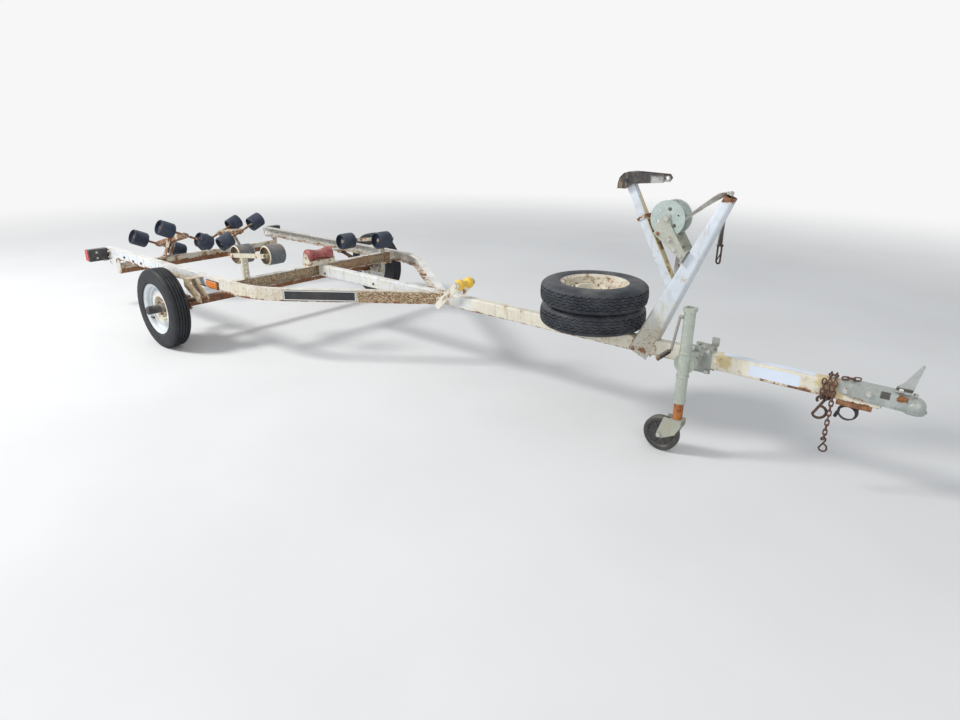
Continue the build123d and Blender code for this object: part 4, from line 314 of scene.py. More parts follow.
def painted_steel(
    name, paint, rust=0.2, rust_scale=14.0, dust=0.3, streaks=0.4, edge=0.6, roughness=0.42,
    zones=(), primer_zones=(), paint_zones=(), speck_zones=(),
):
    """Old enamel: faded paint, yellowed primer, rust blotches, chipped edges, dust and runs.

    zones, primer_zones: centre, half size, border, amount. paint_zones: centre, half size, border, colour.
    speck_zones: centre, half size, border, strength, ground, dots, cover."""
    made, shader, where = material(name)
    fade = noise(where, 3.1).ramp(0.3, 0.7)
    colour = mix(fade, [c * 0.86 for c in paint], [min(1.0, c * 1.05) for c in paint])
    colour = patched(colour, where, paint_zones)
    grime = noise(where, 27.0, 8.0, 0.7).ramp(0.45, 0.75)
    colour = mix(grime * 0.28, colour, (0.33, 0.28, 0.20))
    primer = {"Amount": raised(0.0, where, primer_zones), "Scale": rust_scale * 0.7}
    colour = mix(use("Rust blotches", where, primer)["Stain"], colour, (0.60, 0.50, 0.27))
    for centre, half, border, strength, ground, dots, cover in speck_zones:
        mask = zone(where, (centre, half, border)) * strength
        tones = {"Colour": colour, "Ground": (*ground, 1.0), "Dots": (*dots, 1.0)}
        colour = use("Specks", where, {"Mask": mask, "Cover": cover, **tones})["Colour"]
    blotch = use("Rust blotches", where, {"Amount": raised(rust, where, zones), "Scale": rust_scale})
    chips = use("Edge wear", where, {"Radius": 0.003, "Amount": edge})["Mask"]
    runs = use("Streaks", where, {"Amount": streaks})["Mask"]
    colour = mix(blotch["Stain"] * 0.55, colour, (0.47, 0.33, 0.17))
    colour = mix(runs, colour, (0.36, 0.24, 0.13))
    rusted = blotch["Mask"].highest(chips)
    colour = mix(rusted, colour, blotch["Colour"])
    dusty = use("Dust", where, {"Colour": colour, "Amount": dust})
    rough = noise(where, 40.0, 4.0).ramp(0.3, 0.7, roughness - 0.06, roughness + 0.10)
    rough = (rough + rusted.highest(dusty["Mask"]) * 0.4).clamped()
    pits = noise(where, 330.0, 4.0, 0.65) * rusted * 1.2
    height = pits + noise(where, 120.0, 3.0, 0.5) * 0.12 - rusted * 0.5
    return finish(made, shader, dusty["Colour"], rough, height, 0.5, 0.0012)


def bare_rust(name, tint=(1.0, 1.0, 1.0), dark=0.3, dust=0.25):
    """Steel rusted all over, with darker scale and lighter grains."""
    made, shader, where = material(name)
    tone = noise(where, 24.0, 10.0, 0.7)
    low, high = ([c * t for c, t in zip(base, tint)] for base in ((0.10, 0.045, 0.025), (0.42, 0.19, 0.08)))
    colour = mix(tone.ramp(0.34, 0.66), low, high)
    scale = noise(where, 55.0, 6.0, 0.7).ramp(0.52, 0.66)
    colour = mix(scale * dark, colour, (0.045, 0.028, 0.022))
    grain = noise(where, 240.0, 3.0).ramp(0.35, 0.75)
    colour = mix(grain * 0.3, colour, [min(1.0, c * 1.5) for c in high])
    dusty = use("Dust", where, {"Colour": colour, "Amount": dust})
    height = noise(where, 190.0, 6.0, 0.7) + scale * 0.5
    return finish(made, shader, dusty["Colour"], tone.ramp(0.2, 0.8, 0.95, 0.78), height, 0.6, 0.0015)


def zinc_plate(name, colour, rust, dust, zones=(), paint_zones=()):
    """Dull zinc: spangled grey, white bloom, spots of rust."""
    made, shader, where = material(name)
    tone = cells(where, 90.0, "F1").ramp(0.0, 0.8, 0.92, 1.07)
    spangle = Field(add(where.tree, "ShaderNodeCombineColor", {0: tone, 1: tone, 2: tone}).outputs[0])
    both = {0: 1.0, 6: (*colour, 1.0), 7: spangle}
    base = Field(add(where.tree, "ShaderNodeMix", both, data_type="RGBA", blend_type="MULTIPLY").outputs[2])
    bloom = noise(where, 18.0, 8.0, 0.7).ramp(0.46, 0.66)
    mixed = mix(bloom * 0.3, base, [c + (0.60 - c) * 0.45 for c in colour])
    mixed = patched(mixed, where, paint_zones)
    blotch = use("Rust blotches", where, {"Amount": raised(rust, where, zones), "Scale": 30.0})
    rusted = blotch["Mask"].highest(use("Edge wear", where, {"Radius": 0.002, "Amount": 0.35})["Mask"])
    mixed = mix(blotch["Stain"] * 0.4, mixed, (0.40, 0.30, 0.18))
    mixed = mix(rusted, mixed, blotch["Colour"])
    dusty = use("Dust", where, {"Colour": mixed, "Amount": dust})
    dull = rusted.highest(bloom)
    feed(shader, {"Metallic": (0.55 - dull * 0.5).clamped()})
    height = noise(where, 300.0, 4.0) * 0.4 + rusted * 0.5
    return finish(made, shader, dusty["Colour"], (0.46 + dull * 0.3).clamped(), height, 0.35, 0.0008)


def old_rubber(name, colour, worn, dust, dust_colour=(0.36, 0.31, 0.24)):
    """Weathered rubber: dark with a pale bloom, scuffs, fine cracks and dust."""
    made, shader, where = material(name)
    bloom = noise(where, 16.0, 8.0, 0.65).ramp(0.38, 0.68)
    tone = mix(bloom, colour, worn)
    scuff = noise(where, 85.0, 6.0, 0.7).ramp(0.56, 0.72)
    tone = mix(scuff * 0.4, tone, [min(1.0, c * 1.7) for c in worn])
    dusty = use("Dust", where, {"Colour": tone, "Dust Colour": (*dust_colour, 1.0), "Amount": dust})
    split = cells(where, 130.0, "DISTANCE_TO_EDGE").ramp(0.0, 0.05)
    feed(shader, {"Specular IOR Level": 0.32})
    height = split * 0.4 + noise(where, 420.0, 3.0) * 0.5
    return finish(made, shader, dusty["Colour"], bloom.ramp(0.0, 1.0, 0.54, 0.78), height, 0.35, 0.0006)


def ringed_rubber(name, centre, body, ring, hollow, hollow_r=0.050):
    """Roller rubber whose end rims are worn pale and whose hollow ends are rusty. Its shaft lies along Y."""
    made, shader, where = material(name)
    ends = abs(normal(where.tree).axes()[1]).ramp(0.25, 0.6)
    inside = from_shaft(where, centre).ramp(hollow_r - 0.001, hollow_r + 0.003, 1.0, 0.0)
    bloom = noise(where, 13.0, 8.0, 0.65).ramp(0.36, 0.68)
    colour = mix(bloom, body, [c * 1.9 for c in body])
    scuff = noise(where, 46.0, 8.0, 0.7).ramp(0.55, 0.70)
    colour = mix(scuff * 0.45, colour, [0.5 * (a + b) for a, b in zip(body, ring)])
    colour = mix(ends * noise(where, 60.0, 5.0, 0.7).ramp(0.30, 0.55, 0.55, 1.0), colour, ring)
    rusty = mix(noise(where, 55.0, 6.0, 0.7).ramp(0.35, 0.65), [c * 0.45 for c in hollow], hollow)
    dusty = use("Dust", where, {"Colour": mix(inside, colour, rusty), "Amount": 0.35})
    height = noise(where, 300.0, 4.0, 0.65) + scuff * 0.5
    return finish(made, shader, dusty["Colour"], bloom.ramp(0.0, 1.0, 0.55, 0.80), height, 0.35, 0.0008)


def hub_finish(name):
    """Zinc nuts and flange near the wheel's middle, a black rubber dust cap further out."""
    made, shader, where = material(name)
    near = from_shaft(where, (AXLE_X, 0.0, AXLE_Z)).ramp(0.0325, 0.034, 1.0, 0.0)
    cap = near * where.vector("ABSOLUTE").axes()[1].ramp(WHEEL_Y + 0.022, WHEEL_Y + 0.025)
    tone = noise(where, 45.0, 8.0, 0.7)
    steel = mix(tone.ramp(0.42, 0.62), (0.42, 0.42, 0.40), (0.24, 0.13, 0.07))
    black = mix(tone.ramp(0.35, 0.7), (0.016, 0.016, 0.018), (0.055, 0.053, 0.05))
    dusty = use("Dust", where, {"Colour": mix(cap, steel, black), "Amount": 0.3})
    feed(shader, {"Metallic": (1.0 - cap) * 0.4})
    height = noise(where, 300.0, 4.0)
    return finish(made, shader, dusty["Colour"], tone.ramp(0.3, 0.7, 0.42, 0.7), height, 0.3, 0.0006)


def moulded(name, colour, roughness, dust, fade=0.25, bumpiness=0.3):
    """Moulded plastic that the sun has faded."""
    made, shader, where = material(name)
    faded = noise(where, 14.0).ramp(0.35, 0.75, 0.0, fade)
    tone = mix(faded, colour, [c + (0.6 - c) * 0.25 for c in colour])
    dusty = use("Dust", where, {"Colour": tone, "Amount": dust})
    rough = noise(where, 60.0, 4.0).ramp(0.3, 0.7, roughness - 0.07, roughness + 0.09)
    rough = (rough + dusty["Mask"] * 0.3).clamped()
    return finish(made, shader, dusty["Colour"], rough, noise(where, 260.0, 3.0), bumpiness, 0.0005)


def webbing(name, colour, shade_zones=()):
    """Woven strap: ribs across, dirt in patches, and some stretches painted almost black as shade."""
    made, shader, where = material(name)
    weave = wave(where, "DIAGONAL", 170.0, Distortion=0.6, Detail=1.0)
    both = weave * wave(where, "Y", 240.0, Distortion=0.4)
    tone = mix(both, [c * 0.72 for c in colour], [min(1.0, c * 1.1) for c in colour])
    soiled = noise(where, 16.0, 7.0, 0.65).ramp(0.42, 0.68)
    # The given zones are painted shade, almost black
    tone = patched(mix(soiled * 0.6, tone, (0.23, 0.19, 0.14)), where, shade_zones)
    feed(shader, {"Sheen Weight": 0.25})
    return finish(made, shader, tone, soiled.ramp(0.0, 1.0, 0.85, 0.95), both, 0.5, 0.0006)


def lens(name, colour):
    """Ribbed lamp lens: coloured, glossy, with a prism grid under the surface."""
    made, shader, where = material(name)
    grid = wave(where, "Z", 60.0)
    haze = noise(where, 30.0).ramp(0.4, 0.75)
    tone = mix(grid, [c * 0.55 for c in colour], colour)
    tone = mix(haze * 0.18, tone, [c + (0.55 - c) * 0.5 for c in colour])
    dusty = use("Dust", where, {"Colour": tone, "Amount": 0.25})
    feed(shader, {"Coat Weight": 0.6})
    return finish(made, shader, dusty["Colour"], haze.ramp(0.0, 1.0, 0.16, 0.38), grid, 0.4, 0.001)


# Mesh helpers


def mesh_from(bm, name):
    bmesh.ops.recalc_face_normals(bm, faces=bm.faces)
    mesh = bpy.data.meshes.new(name)
    bm.to_mesh(mesh)
    bm.free()
    return mesh


def keep(name, bm, body, *finishes, smooth=True, angle=35.0):
    """Makes a piece of a mesh: its body and its materials."""
    mesh = mesh_from(bm, name)
    piece = bpy.data.objects.new(name, mesh)
    bpy.context.scene.collection.objects.link(piece)
    for one in finishes:
        mesh.materials.append(MATERIALS[one])
    if smooth:
        for face in mesh.polygons:
            face.use_smooth = True
        mesh.set_sharp_from_angle(angle=math.radians(angle))
    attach(piece, body)
    return piece


def axis_frame(origin, along, side=None):
    """A matrix whose local Z runs along a direction, at a point."""
    z = Vector(along).normalized()
    hint = Vector(side) if side is not None else Vector((0, 0, 1)) if abs(z.z) < 0.9 else Vector((1, 0, 0))
    x = (hint - z * hint.dot(z)).normalized()
    return Matrix.Translation(Vector(origin)) @ Matrix((x, z.cross(x), z)).transposed().to_4x4()


def on_circle(radius, turn, height=0.0):
    return Vector((radius * math.cos(turn), radius * math.sin(turn), height))


def lathe(bm, profile, place, segments=48, closed=False):
    """Turns (radius, height) points round the local Z axis of a matrix."""
    rings = []
    for k in range(segments):
        turn = 2 * math.pi * k / segments
        rings.append([bm.verts.new(place @ on_circle(radius, turn, height)) for radius, height in profile])
    count = len(profile)
    for k in range(segments):
        one, two = rings[k], rings[(k + 1) % segments]
        for j in range(count if closed else count - 1):
            m = (j + 1) % count
            bm.faces.new((one[j], one[m], two[m], two[j]))
    if not closed:
        for end in (0, count - 1):
            if profile[end][0] > 1e-6:
                bm.faces.new([ring[end] for ring in rings])
    bmesh.ops.remove_doubles(bm, verts=bm.verts, dist=1e-6)


def slab(bm, place, size, round_by, segments=1):
    """A box with softened edges, centred on a point or a matrix."""
    if not isinstance(place, Matrix):
        place = Matrix.Translation(place)
    made = bmesh.ops.create_cube(bm, size=1.0, matrix=place @ Matrix.Diagonal((*size, 1.0)))
    edges = list({e for v in made["verts"] for e in v.link_edges})
    bmesh.ops.bevel(bm, geom=edges, offset=round_by, segments=segments, profile=0.6, affect="EDGES")


def hex_bolt(bm, origin, along, across, high, washer, stub, turn):
    """A hexagon head or nut with its washer, standing on a face; the thread end may stand out."""
    place = axis_frame(origin, along) @ Matrix.Rotation(turn, 4, "Z")
    base = 0.0
    if washer:
        bore = across * 0.33
        ring = [(bore, 0.0), (washer, 0.0), (washer, 0.0016), (washer - 0.0006, 0.002), (bore, 0.002)]
        lathe(bm, ring, place, 24, closed=True)
        base = 0.002
    r = across / math.sqrt(3)
    rows = [(r, base), (r, base + high * 0.75), (r * 0.86, base + high)]
    rings = [[bm.verts.new(place @ on_circle(a, math.pi / 3 * k, h)) for k in range(6)] for a, h in rows]
    for low, up in zip(rings, rings[1:]):
        for k in range(6):
            bm.faces.new((low[k], low[(k + 1) % 6], up[(k + 1) % 6], up[k]))
    bm.faces.new(rings[0])
    bm.faces.new(rings[2])
    if stub:
        t, end = across * 0.30, base + high + stub
        lathe(bm, [(t, end - stub - 0.001), (t, end - 0.001), (t * 0.8, end)], place, 16)


def bolts(name, body, finish_name, rows):
    """Several bolts in one piece. Rows: where, direction, width across flats, height, washer, thread end."""
    bm = bmesh.new()
    for at, along, across, high, washer, stub in rows:
        hex_bolt(bm, at, along, across, high, washer, stub, (at[0] * 37.0 + at[2] * 91.0) % 1.0)
    return keep(name, bm, body, finish_name, angle=28.0)


def rod(bm, points, radius, segments=12, closed=False):
    """A round rod along points, its section carried from point to point."""
    points = [Vector(p) for p in points]
    count = len(points)
    rings, x = [], None
    for i, p in enumerate(points):
        before = points[i - 1] if i or closed else points[0]
        after = points[(i + 1) % count] if i < count - 1 or closed else points[-1]
        z = (after - before).normalized()
        if x is None:
            x = z.orthogonal().normalized()
        x = (x - z * x.dot(z)).normalized()
        y = z.cross(x)
        r = radius(i) if callable(radius) else radius
        section = [on_circle(r, 2 * math.pi * k / segments) for k in range(segments)]
        rings.append([bm.verts.new(p + x * q.x + y * q.y) for q in section])
    for i in range(count if closed else count - 1):
        one, two = rings[i], rings[(i + 1) % count]
        for k in range(segments):
            bm.faces.new((one[k], one[(k + 1) % segments], two[(k + 1) % segments], two[k]))
    if not closed:
        bm.faces.new(rings[0])
        bm.faces.new(rings[-1])


def curve_through(points, steps=6):
    """Points along a smooth curve through the given ones."""
    points = [Vector(p) for p in points]
    ends = [points[0], *points, points[-1]]
    made = []
    for p0, p1, p2, p3 in zip(ends, points, points[1:], ends[3:]):
        for t in range(steps):
            u = t / steps
            square, cube = (2 * p0 - 5 * p1 + 4 * p2 - p3) * u * u, (3 * p1 - p0 - 3 * p2 + p3) * u**3
            made.append(0.5 * (2 * p1 + (p2 - p0) * u + square + cube))
    return [*made, points[-1]]


def ribbon(bm, points, sides, widths, thick):
    """A flat strap through the points. sides: the strap's cross direction at each point."""
    rings, t = [], thick / 2
    for k, p in enumerate(points):
        run = (points[min(k + 1, len(points) - 1)] - points[max(k - 1, 0)]).normalized()
        side = (sides[k] - run * sides[k].dot(run)).normalized()
        face = run.cross(side)
        w = widths[k] / 2
        half = [(-w, -t), (-w * 0.5, -t * 1.15), (w * 0.5, -t * 1.15), (w, -t)]
        section = half + [(a, -b) for a, b in reversed(half)]
        rings.append([bm.verts.new(p + side * a + face * b) for a, b in section])
    for a, b in zip(rings, rings[1:]):
        for j in range(8):
            n = (j + 1) % 8
            bm.faces.new((a[j], a[n], b[n], b[j]))
    bm.faces.new(list(reversed(rings[0])))
    bm.faces.new(rings[-1])


def dress(node, finish_name, width):
    """Gives a CAD node its material and, by a modifier, rounded edges."""
    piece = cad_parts[node]
    piece.data.materials.clear()
    piece.data.materials.append(MATERIALS[finish_name])
    if width:
        made = piece.modifiers.new("Rounded edges", "BEVEL")
        made.width = width
        made.segments = 2
        made.limit_method = "ANGLE"
        made.angle_limit = math.radians(30.0)
        made.harden_normals = True
        made.miter_outer = "MITER_ARC"


# Materials of this trailer

CREAM = (0.76, 0.72, 0.60)
WHITE = (0.79, 0.79, 0.76)
# Bluish white of white paint in sky-lit shade: painted shade, on the right rail's rear web and the tongue's
# rear length
SHADED_WHITE = (0.70, 0.745, 0.79)
# Bluish white of the winch post and strut: painted shade, their white paint as it looks in sky-lit shade
WINCH_SHADE_WHITE = (0.66, 0.715, 0.775)
ZINC = (0.36, 0.39, 0.37)
STAIN = (0.60, 0.47, 0.28)
SPECK = (0.17, 0.090, 0.040)
# Lean of the winch strut from plumb, in degrees
STRUT_LEAN = 29.0
MATERIALS = {}


def make(key, kind, name, *values, dust=1.0, **more):
    """Builds one material. dust: its share of the setting."""
    MATERIALS[key] = kind(name, *values, dust=dust * bpy.context.scene.trailer.dust, **more)


def enamel(key, name, paint, rust, scale, **more):
    """Builds one old enamel. rust: its share of the setting."""
    rust = rust * bpy.context.scene.trailer.rust
    make(key, painted_steel, name, paint, rust=rust, rust_scale=scale, **more)


def rail_enamels():
    tan, brown = (0.58, 0.48, 0.32), (0.20, 0.11, 0.05)
    sand, umber = (0.68, 0.60, 0.44), (0.34, 0.22, 0.12)
    enamel(
        "rail_right", "Rail enamel, right", WHITE, 0.30, 16.0, streaks=0.5,
        zones=(
            ((0.1475, -0.15, 0.410), (0.21, 0.20, 0.015), 0.02, 0.45),
            ((-1.6025, -0.725, 0.410), (0.26, 0.02, 0.03), 0.05, 0.48),
            ((-2.6425, -0.70, 0.43), (0.06, 0.05, 0.05), 0.05, 0.50),
            ((-0.9825, -0.70, 0.403), (1.6, 0.8, 0.010), 0.010, 0.62),
        ),
        paint_zones=(
            ((-0.2325, -0.45, 0.43), (0.85, 0.5, 0.06), 0.06, (0.75, 0.72, 0.62)),
            # The right rail's rear web in bluish white: painted shade
            ((-1.90, -0.73, 0.43), (0.80, 0.02, 0.034), 0.03, SHADED_WHITE),
        ),
        speck_zones=(
            ((0.125, -0.15, 0.436), (0.205, 0.20, 0.034), 0.008, 1.0, STAIN, SPECK, 0.66),
            ((-1.50, -0.73, 0.418), (0.23, 0.03, 0.020), 0.025, 0.90, tan, brown, 0.36),
            ((-0.62, -0.68, 0.430), (0.20, 0.10, 0.040), 0.05, 0.55, sand, umber, 0.30),
        ),
    )
    # Grey ground on the left rail's rear: painted shade, with dark dots on it
    shade_grey, dark_dots = (0.40, 0.40, 0.37), (0.11, 0.095, 0.08)
    stone, earth = (0.58, 0.55, 0.46), (0.26, 0.16, 0.08)
    enamel(
        "rail_left", "Rail enamel, left", WHITE, 0.22, 16.0, streaks=0.5,
        zones=(
            ((-0.8425, 0.66, 0.41), (0.14, 0.10, 0.02), 0.05, 0.45),
            ((0.1775, 0.12, 0.41), (0.16, 0.16, 0.015), 0.03, 0.45),
            ((-0.9825, 0.70, 0.403), (1.6, 0.8, 0.010), 0.010, 0.55),
        ),
        speck_zones=(
            # The left rail's rear, greyed as painted shade
            ((-1.90, 0.71, 0.436), (0.72, 0.05, 0.040), 0.08, 0.80, shade_grey, dark_dots, 0.36),
            ((-0.70, 0.66, 0.436), (0.25, 0.10, 0.034), 0.08, 0.60, stone, earth, 0.34),
        ),
    )


def tongue_enamel():
    enamel(
        "tongue", "Tongue enamel", CREAM, 0.28, 18.0, streaks=0.45,
        zones=(
            ((1.6175, 0.0, 0.401), (1.2, 0.03, 0.006), 0.010, 0.72),
            ((1.6575, 0.0, 0.44), (0.08, 0.04, 0.05), 0.05, 0.70),
            ((2.2675, -0.02, 0.410), (0.20, 0.02, 0.016), 0.02, 0.62),
            ((0.3175, 0.0, 0.44), (0.06, 0.04, 0.05), 0.04, 0.62),
        ),
        primer_zones=(
            ((2.475, 0.0, 0.45), (0.055, 0.05, 0.05), 0.03, 0.92),
            ((2.0375, 0.0, 0.45), (0.035, 0.05, 0.05), 0.03, 0.85),
        ),
        # The tongue's rear length in bluish white: painted shade
        paint_zones=(((-0.1825, 0.0, 0.44), (0.75, 0.04, 0.05), 0.08, SHADED_WHITE),),
    )


def cross_member_enamels():
    scale, flake = (0.13, 0.080, 0.045), (0.56, 0.43, 0.26)
    rust, sand = (0.30, 0.10, 0.035), (0.42, 0.30, 0.18)
    enamel(
        "front_cross", "Front cross member enamel", WHITE, 0.42, 17.0, streaks=0.3,
        zones=(((-0.8725, 0.0, 0.400), (0.03, 0.70, 0.004), 0.006, 0.80),),
        speck_zones=(
            ((-0.873, 0.0, 0.437), (0.0205, 0.70, 0.0335), 0.003, 1.0, scale, flake, 0.46),
            ((-0.873, 0.32, 0.432), (0.0205, 0.14, 0.022), 0.02, 0.75, rust, sand, 0.25),
        ),
    )
    enamel(
        "rear_cross", "Rear cross member enamel", (0.62, 0.59, 0.50), 0.50, 15.0, dust=1.3, streaks=0.6,
        zones=(
            ((REAR_CROSS_X, 0.0, 0.302), (0.03, 0.72, 0.022), 0.012, 0.97),
            ((-2.5275, 0.0, 0.32), (0.012, 0.72, 0.036), 0.006, 0.92),
        ),
    )


def bracket_enamels():
    tan, brown = (0.50, 0.38, 0.22), (0.17, 0.09, 0.04)
    below = ((AXLE_X + 0.2, 0.0, 0.38), (0.5, 1.0, 0.08), 0.05, 0.8, tan, brown, 0.35)
    enamel("under", "Undercarriage enamel", (0.46, 0.43, 0.36), 0.80, 20.0, dust=1.2, edge=0.8)
    enamel("hangers", "Hanger enamel", (0.62, 0.56, 0.43), 0.40, 22.0, edge=0.7, speck_zones=(below,))
    enamel("brackets", "Bracket enamel", (0.70, 0.68, 0.60), 0.50, 20.0, edge=0.8)
    enamel(
        "mid", "Middle support enamel", (0.72, 0.68, 0.54), 0.38, 24.0, edge=0.8,
        zones=(
            ((-0.9625, 0.5, 0.60), (0.40, 0.14, 0.14), 0.06, 0.52),
            ((-1.0143, -0.55, 0.606), (0.04, 0.12, 0.02), 0.02, 0.70),
        ),
        paint_zones=(((-0.9325, 0.55, 0.58), (0.40, 0.14, 0.14), 0.04, (0.50, 0.50, 0.45)),),
    )
    enamel("cradle", "Cradle enamel", (0.52, 0.47, 0.38), 0.66, 18.0, dust=1.3, edge=0.9)
    enamel("posts", "Cradle post enamel", (0.62, 0.60, 0.52), 0.55, 22.0, edge=0.9)
    enamel("keel_bracket", "Keel bracket enamel", (0.74, 0.69, 0.56), 0.45, 26.0, edge=0.9)
    bow = (((0.4175, 0.0, 0.47), (0.03, 0.09, 0.03), 0.02, 0.55),)
    enamel("bow_bracket", "Bow bracket enamel", (0.78, 0.75, 0.64), 0.34, 26.0, edge=0.8, zones=bow)
    enamel("fork", "Jack fork paint", (0.38, 0.40, 0.33), 0.26, 24.0)


def winch_post_enamels():
    olive, brown = (0.50, 0.46, 0.33), (0.24, 0.12, 0.05)
    # The winch post's bluish white is painted shade
    enamel(
        "post", "Winch post enamel", WINCH_SHADE_WHITE, 0.20, 15.0, dust=0.6, streaks=0.25, roughness=0.36,
        zones=(
            ((1.6300, 0.0, 0.415), (0.08, 0.05, 0.025), 0.03, 0.66),
            ((1.9725, 0.0, 1.147), (0.06, 0.05, 0.016), 0.02, 0.90),
            ((1.8175, 0.0, 0.80), (0.02, 0.05, 0.03), 0.03, 0.60),
        ),
        paint_zones=(((1.6775, 0.0, 0.50), (0.10, 0.06, 0.14), 0.06, (0.60, 0.60, 0.54)),),
        speck_zones=(((1.6475, 0.0, 0.455), (0.11, 0.05, 0.075), 0.06, 0.85, olive, brown, 0.22),),
    )
    # The strut's bluish white is painted shade as well
    enamel(
        "strut", "Winch strut enamel", WINCH_SHADE_WHITE, 0.30, 15.0, dust=0.6, streaks=0.3, roughness=0.38,
        zones=(
            ((1.4925, 0.0, 1.205), (0.035, 0.03, 0.035), 0.02, 0.62),
            ((1.5876, 0.0, 1.0351), (0.036, 0.035, 0.012), 0.008, 0.55, STRUT_LEAN),
            ((1.6560, 0.0, 0.9650), (0.0060, 0.035, 0.075), 0.006, 0.80, STRUT_LEAN),
            ((1.7250, 0.0, 0.8400), (0.0050, 0.035, 0.080), 0.006, 0.62, STRUT_LEAN),
        ),
        primer_zones=(((1.6650, 0.0, 0.9500), (0.0090, 0.035, 0.27), 0.006, 0.85, STRUT_LEAN),),
    )
    enamel(
        "bow_stop", "Bow stop, black and rusty", (0.030, 0.029, 0.032), 0.24, 26.0, dust=0.4, edge=0.35,
        zones=(((1.470, 0.0, 1.172), (0.020, 0.06, 0.024), 0.015, 0.46),),
        paint_zones=(((1.648, 0.0, 1.200), (0.028, 0.05, 0.016), 0.008, (0.42, 0.43, 0.42)),),
    )


def wheel_materials():
    hub = (AXLE_X, 0.0, AXLE_Z)
    enamel(
        "rim", "Rim enamel", (0.70, 0.75, 0.79), 0.24, 34.0, dust=0.6, streaks=0.0, edge=0.5,
        zones=((hub, (0.075, 1.1, 0.075), 0.03, 0.55),),
        paint_zones=((hub, (0.085, 1.1, 0.085), 0.03, (0.76, 0.71, 0.58)),),
    )
    enamel("spare_rim", "Spare rim enamel", (0.70, 0.66, 0.55), 0.45, 30.0, streaks=0.0, edge=0.8)
    MATERIALS["hub"] = hub_finish("Hub steel and dust cap")
    dark, worn = (0.012, 0.014, 0.018), (0.030, 0.034, 0.042)
    make("tyre", old_rubber, "Tyre rubber", dark, worn, dust=0.35)
    dark, worn = (0.015, 0.018, 0.025), (0.050, 0.056, 0.068)
    make("spare_tyre", old_rubber, "Spare tyre rubber", dark, worn, dust=0.5, dust_colour=(0.34, 0.33, 0.30))


def roller_materials():
    dark, worn = (0.016, 0.024, 0.042), (0.050, 0.066, 0.098)
    make("roller", old_rubber, "Roller rubber", dark, worn, dust=0.4, dust_colour=(0.30, 0.30, 0.28))
    for end, (x, z) in zip(("rear", "front"), SHAFT_ENDS[-1]):
        MATERIALS[f"ringed_{end}"] = ringed_rubber(
            f"Worn roller rubber, {end}", (x, -0.5085, z),
            (0.062, 0.070, 0.082), (0.72, 0.65, 0.48), (0.30, 0.19, 0.10),
        )
    red, worn = (0.27, 0.040, 0.042), (0.50, 0.20, 0.18)
    make("keel", old_rubber, "Red keel roller", red, worn, dust_colour=(0.50, 0.40, 0.32))
    make("bow", moulded, "Yellow bow roller", (0.86, 0.54, 0.035), 0.36, dust=0.8, fade=0.2)


def plated_materials():
    """Zinc plate: coupler, winch, jack and bolts."""
    rows = (
        ("drum", "Winch drum zinc plate", (0.42, 0.49, 0.46), 0.12, 0.4),
        ("crank", "Winch crank zinc plate", (0.50, 0.50, 0.46), 0.40, 0.5),
        ("mount", "Jack mount zinc plate", (0.36, 0.38, 0.35), 0.24, 0.6),
        ("jack", "Jack tube zinc paint", (0.42, 0.46, 0.40), 0.10, 0.4),
        ("bolt", "Bolt zinc plate", (0.52, 0.52, 0.49), 0.42, 0.5),
    )
    for key, name, colour, rust, dust in rows:
        make(key, zinc_plate, name, colour, rust, dust=dust)
    make(
        "winch", zinc_plate, "Winch zinc plate", (0.44, 0.45, 0.385), 0.08, dust=0.5,
        zones=(((1.79, 0.0, 0.90), (0.03, 0.06, 0.03), 0.02, 0.35),),
    )
    make(
        "coupler", zinc_plate, "Coupler zinc plate", ZINC, 0.16, dust=0.6,
        zones=(
            ((2.722, -0.034, 0.466), (0.024, 0.02, 0.020), 0.010, 0.85),
            ((2.5405, 0.0, 0.425), (0.06, 0.05, 0.012), 0.02, 0.60),
        ),
        # A dark patch below the latch: painted shadow
        paint_zones=(((2.663, -0.034, 0.463), (0.017, 0.02, 0.015), 0.002, (0.085, 0.080, 0.070)),),
    )
    make(
        "latch", zinc_plate, "Latch zinc plate", (0.42, 0.44, 0.43), 0.20, dust=0.5,
        # A dark band across the latch by its pivot: painted shade
        paint_zones=(((2.715, 0.0, 0.495), (0.040, 0.03, 0.008), 0.004, (0.07, 0.065, 0.06)),),
    )
    make(
        "jack_crank", zinc_plate, "Jack crank steel", (0.30, 0.30, 0.28), 0.35,
        paint_zones=(((1.822, -0.175, 0.470), (0.032, 0.03, 0.034), 0.004, (0.018, 0.018, 0.019)),),
    )


def rusty_materials():
    MATERIALS["jack_leg"] = bare_rust("Jack leg rust", (1.25, 0.95, 0.55), 0.25)
    MATERIALS["rust"] = bare_rust("Bare rust")
    MATERIALS["chain"] = bare_rust("Chain rust", (0.42, 0.40, 0.70), 0.6, dust=0.12)
    MATERIALS["dark_steel"] = bare_rust("Dark steel", (0.20, 0.24, 0.34), 0.7, dust=0.12)
    MATERIALS["springs"] = bare_rust("Spring rust", (0.42, 0.45, 0.50), 0.7)


def webbing_materials():
    # The strap's hanging end behind the post, painted almost black: painted shade
    dark = ((1.940, 0.036, 1.025), (0.04, 0.012, 0.112), 0.004, (0.040, 0.032, 0.028))
    MATERIALS["strap"] = webbing("Winch strap webbing", (0.66, 0.64, 0.56), shade_zones=(dark,))
    MATERIALS["coil"] = webbing("Coiled strap webbing", (0.46, 0.42, 0.33))


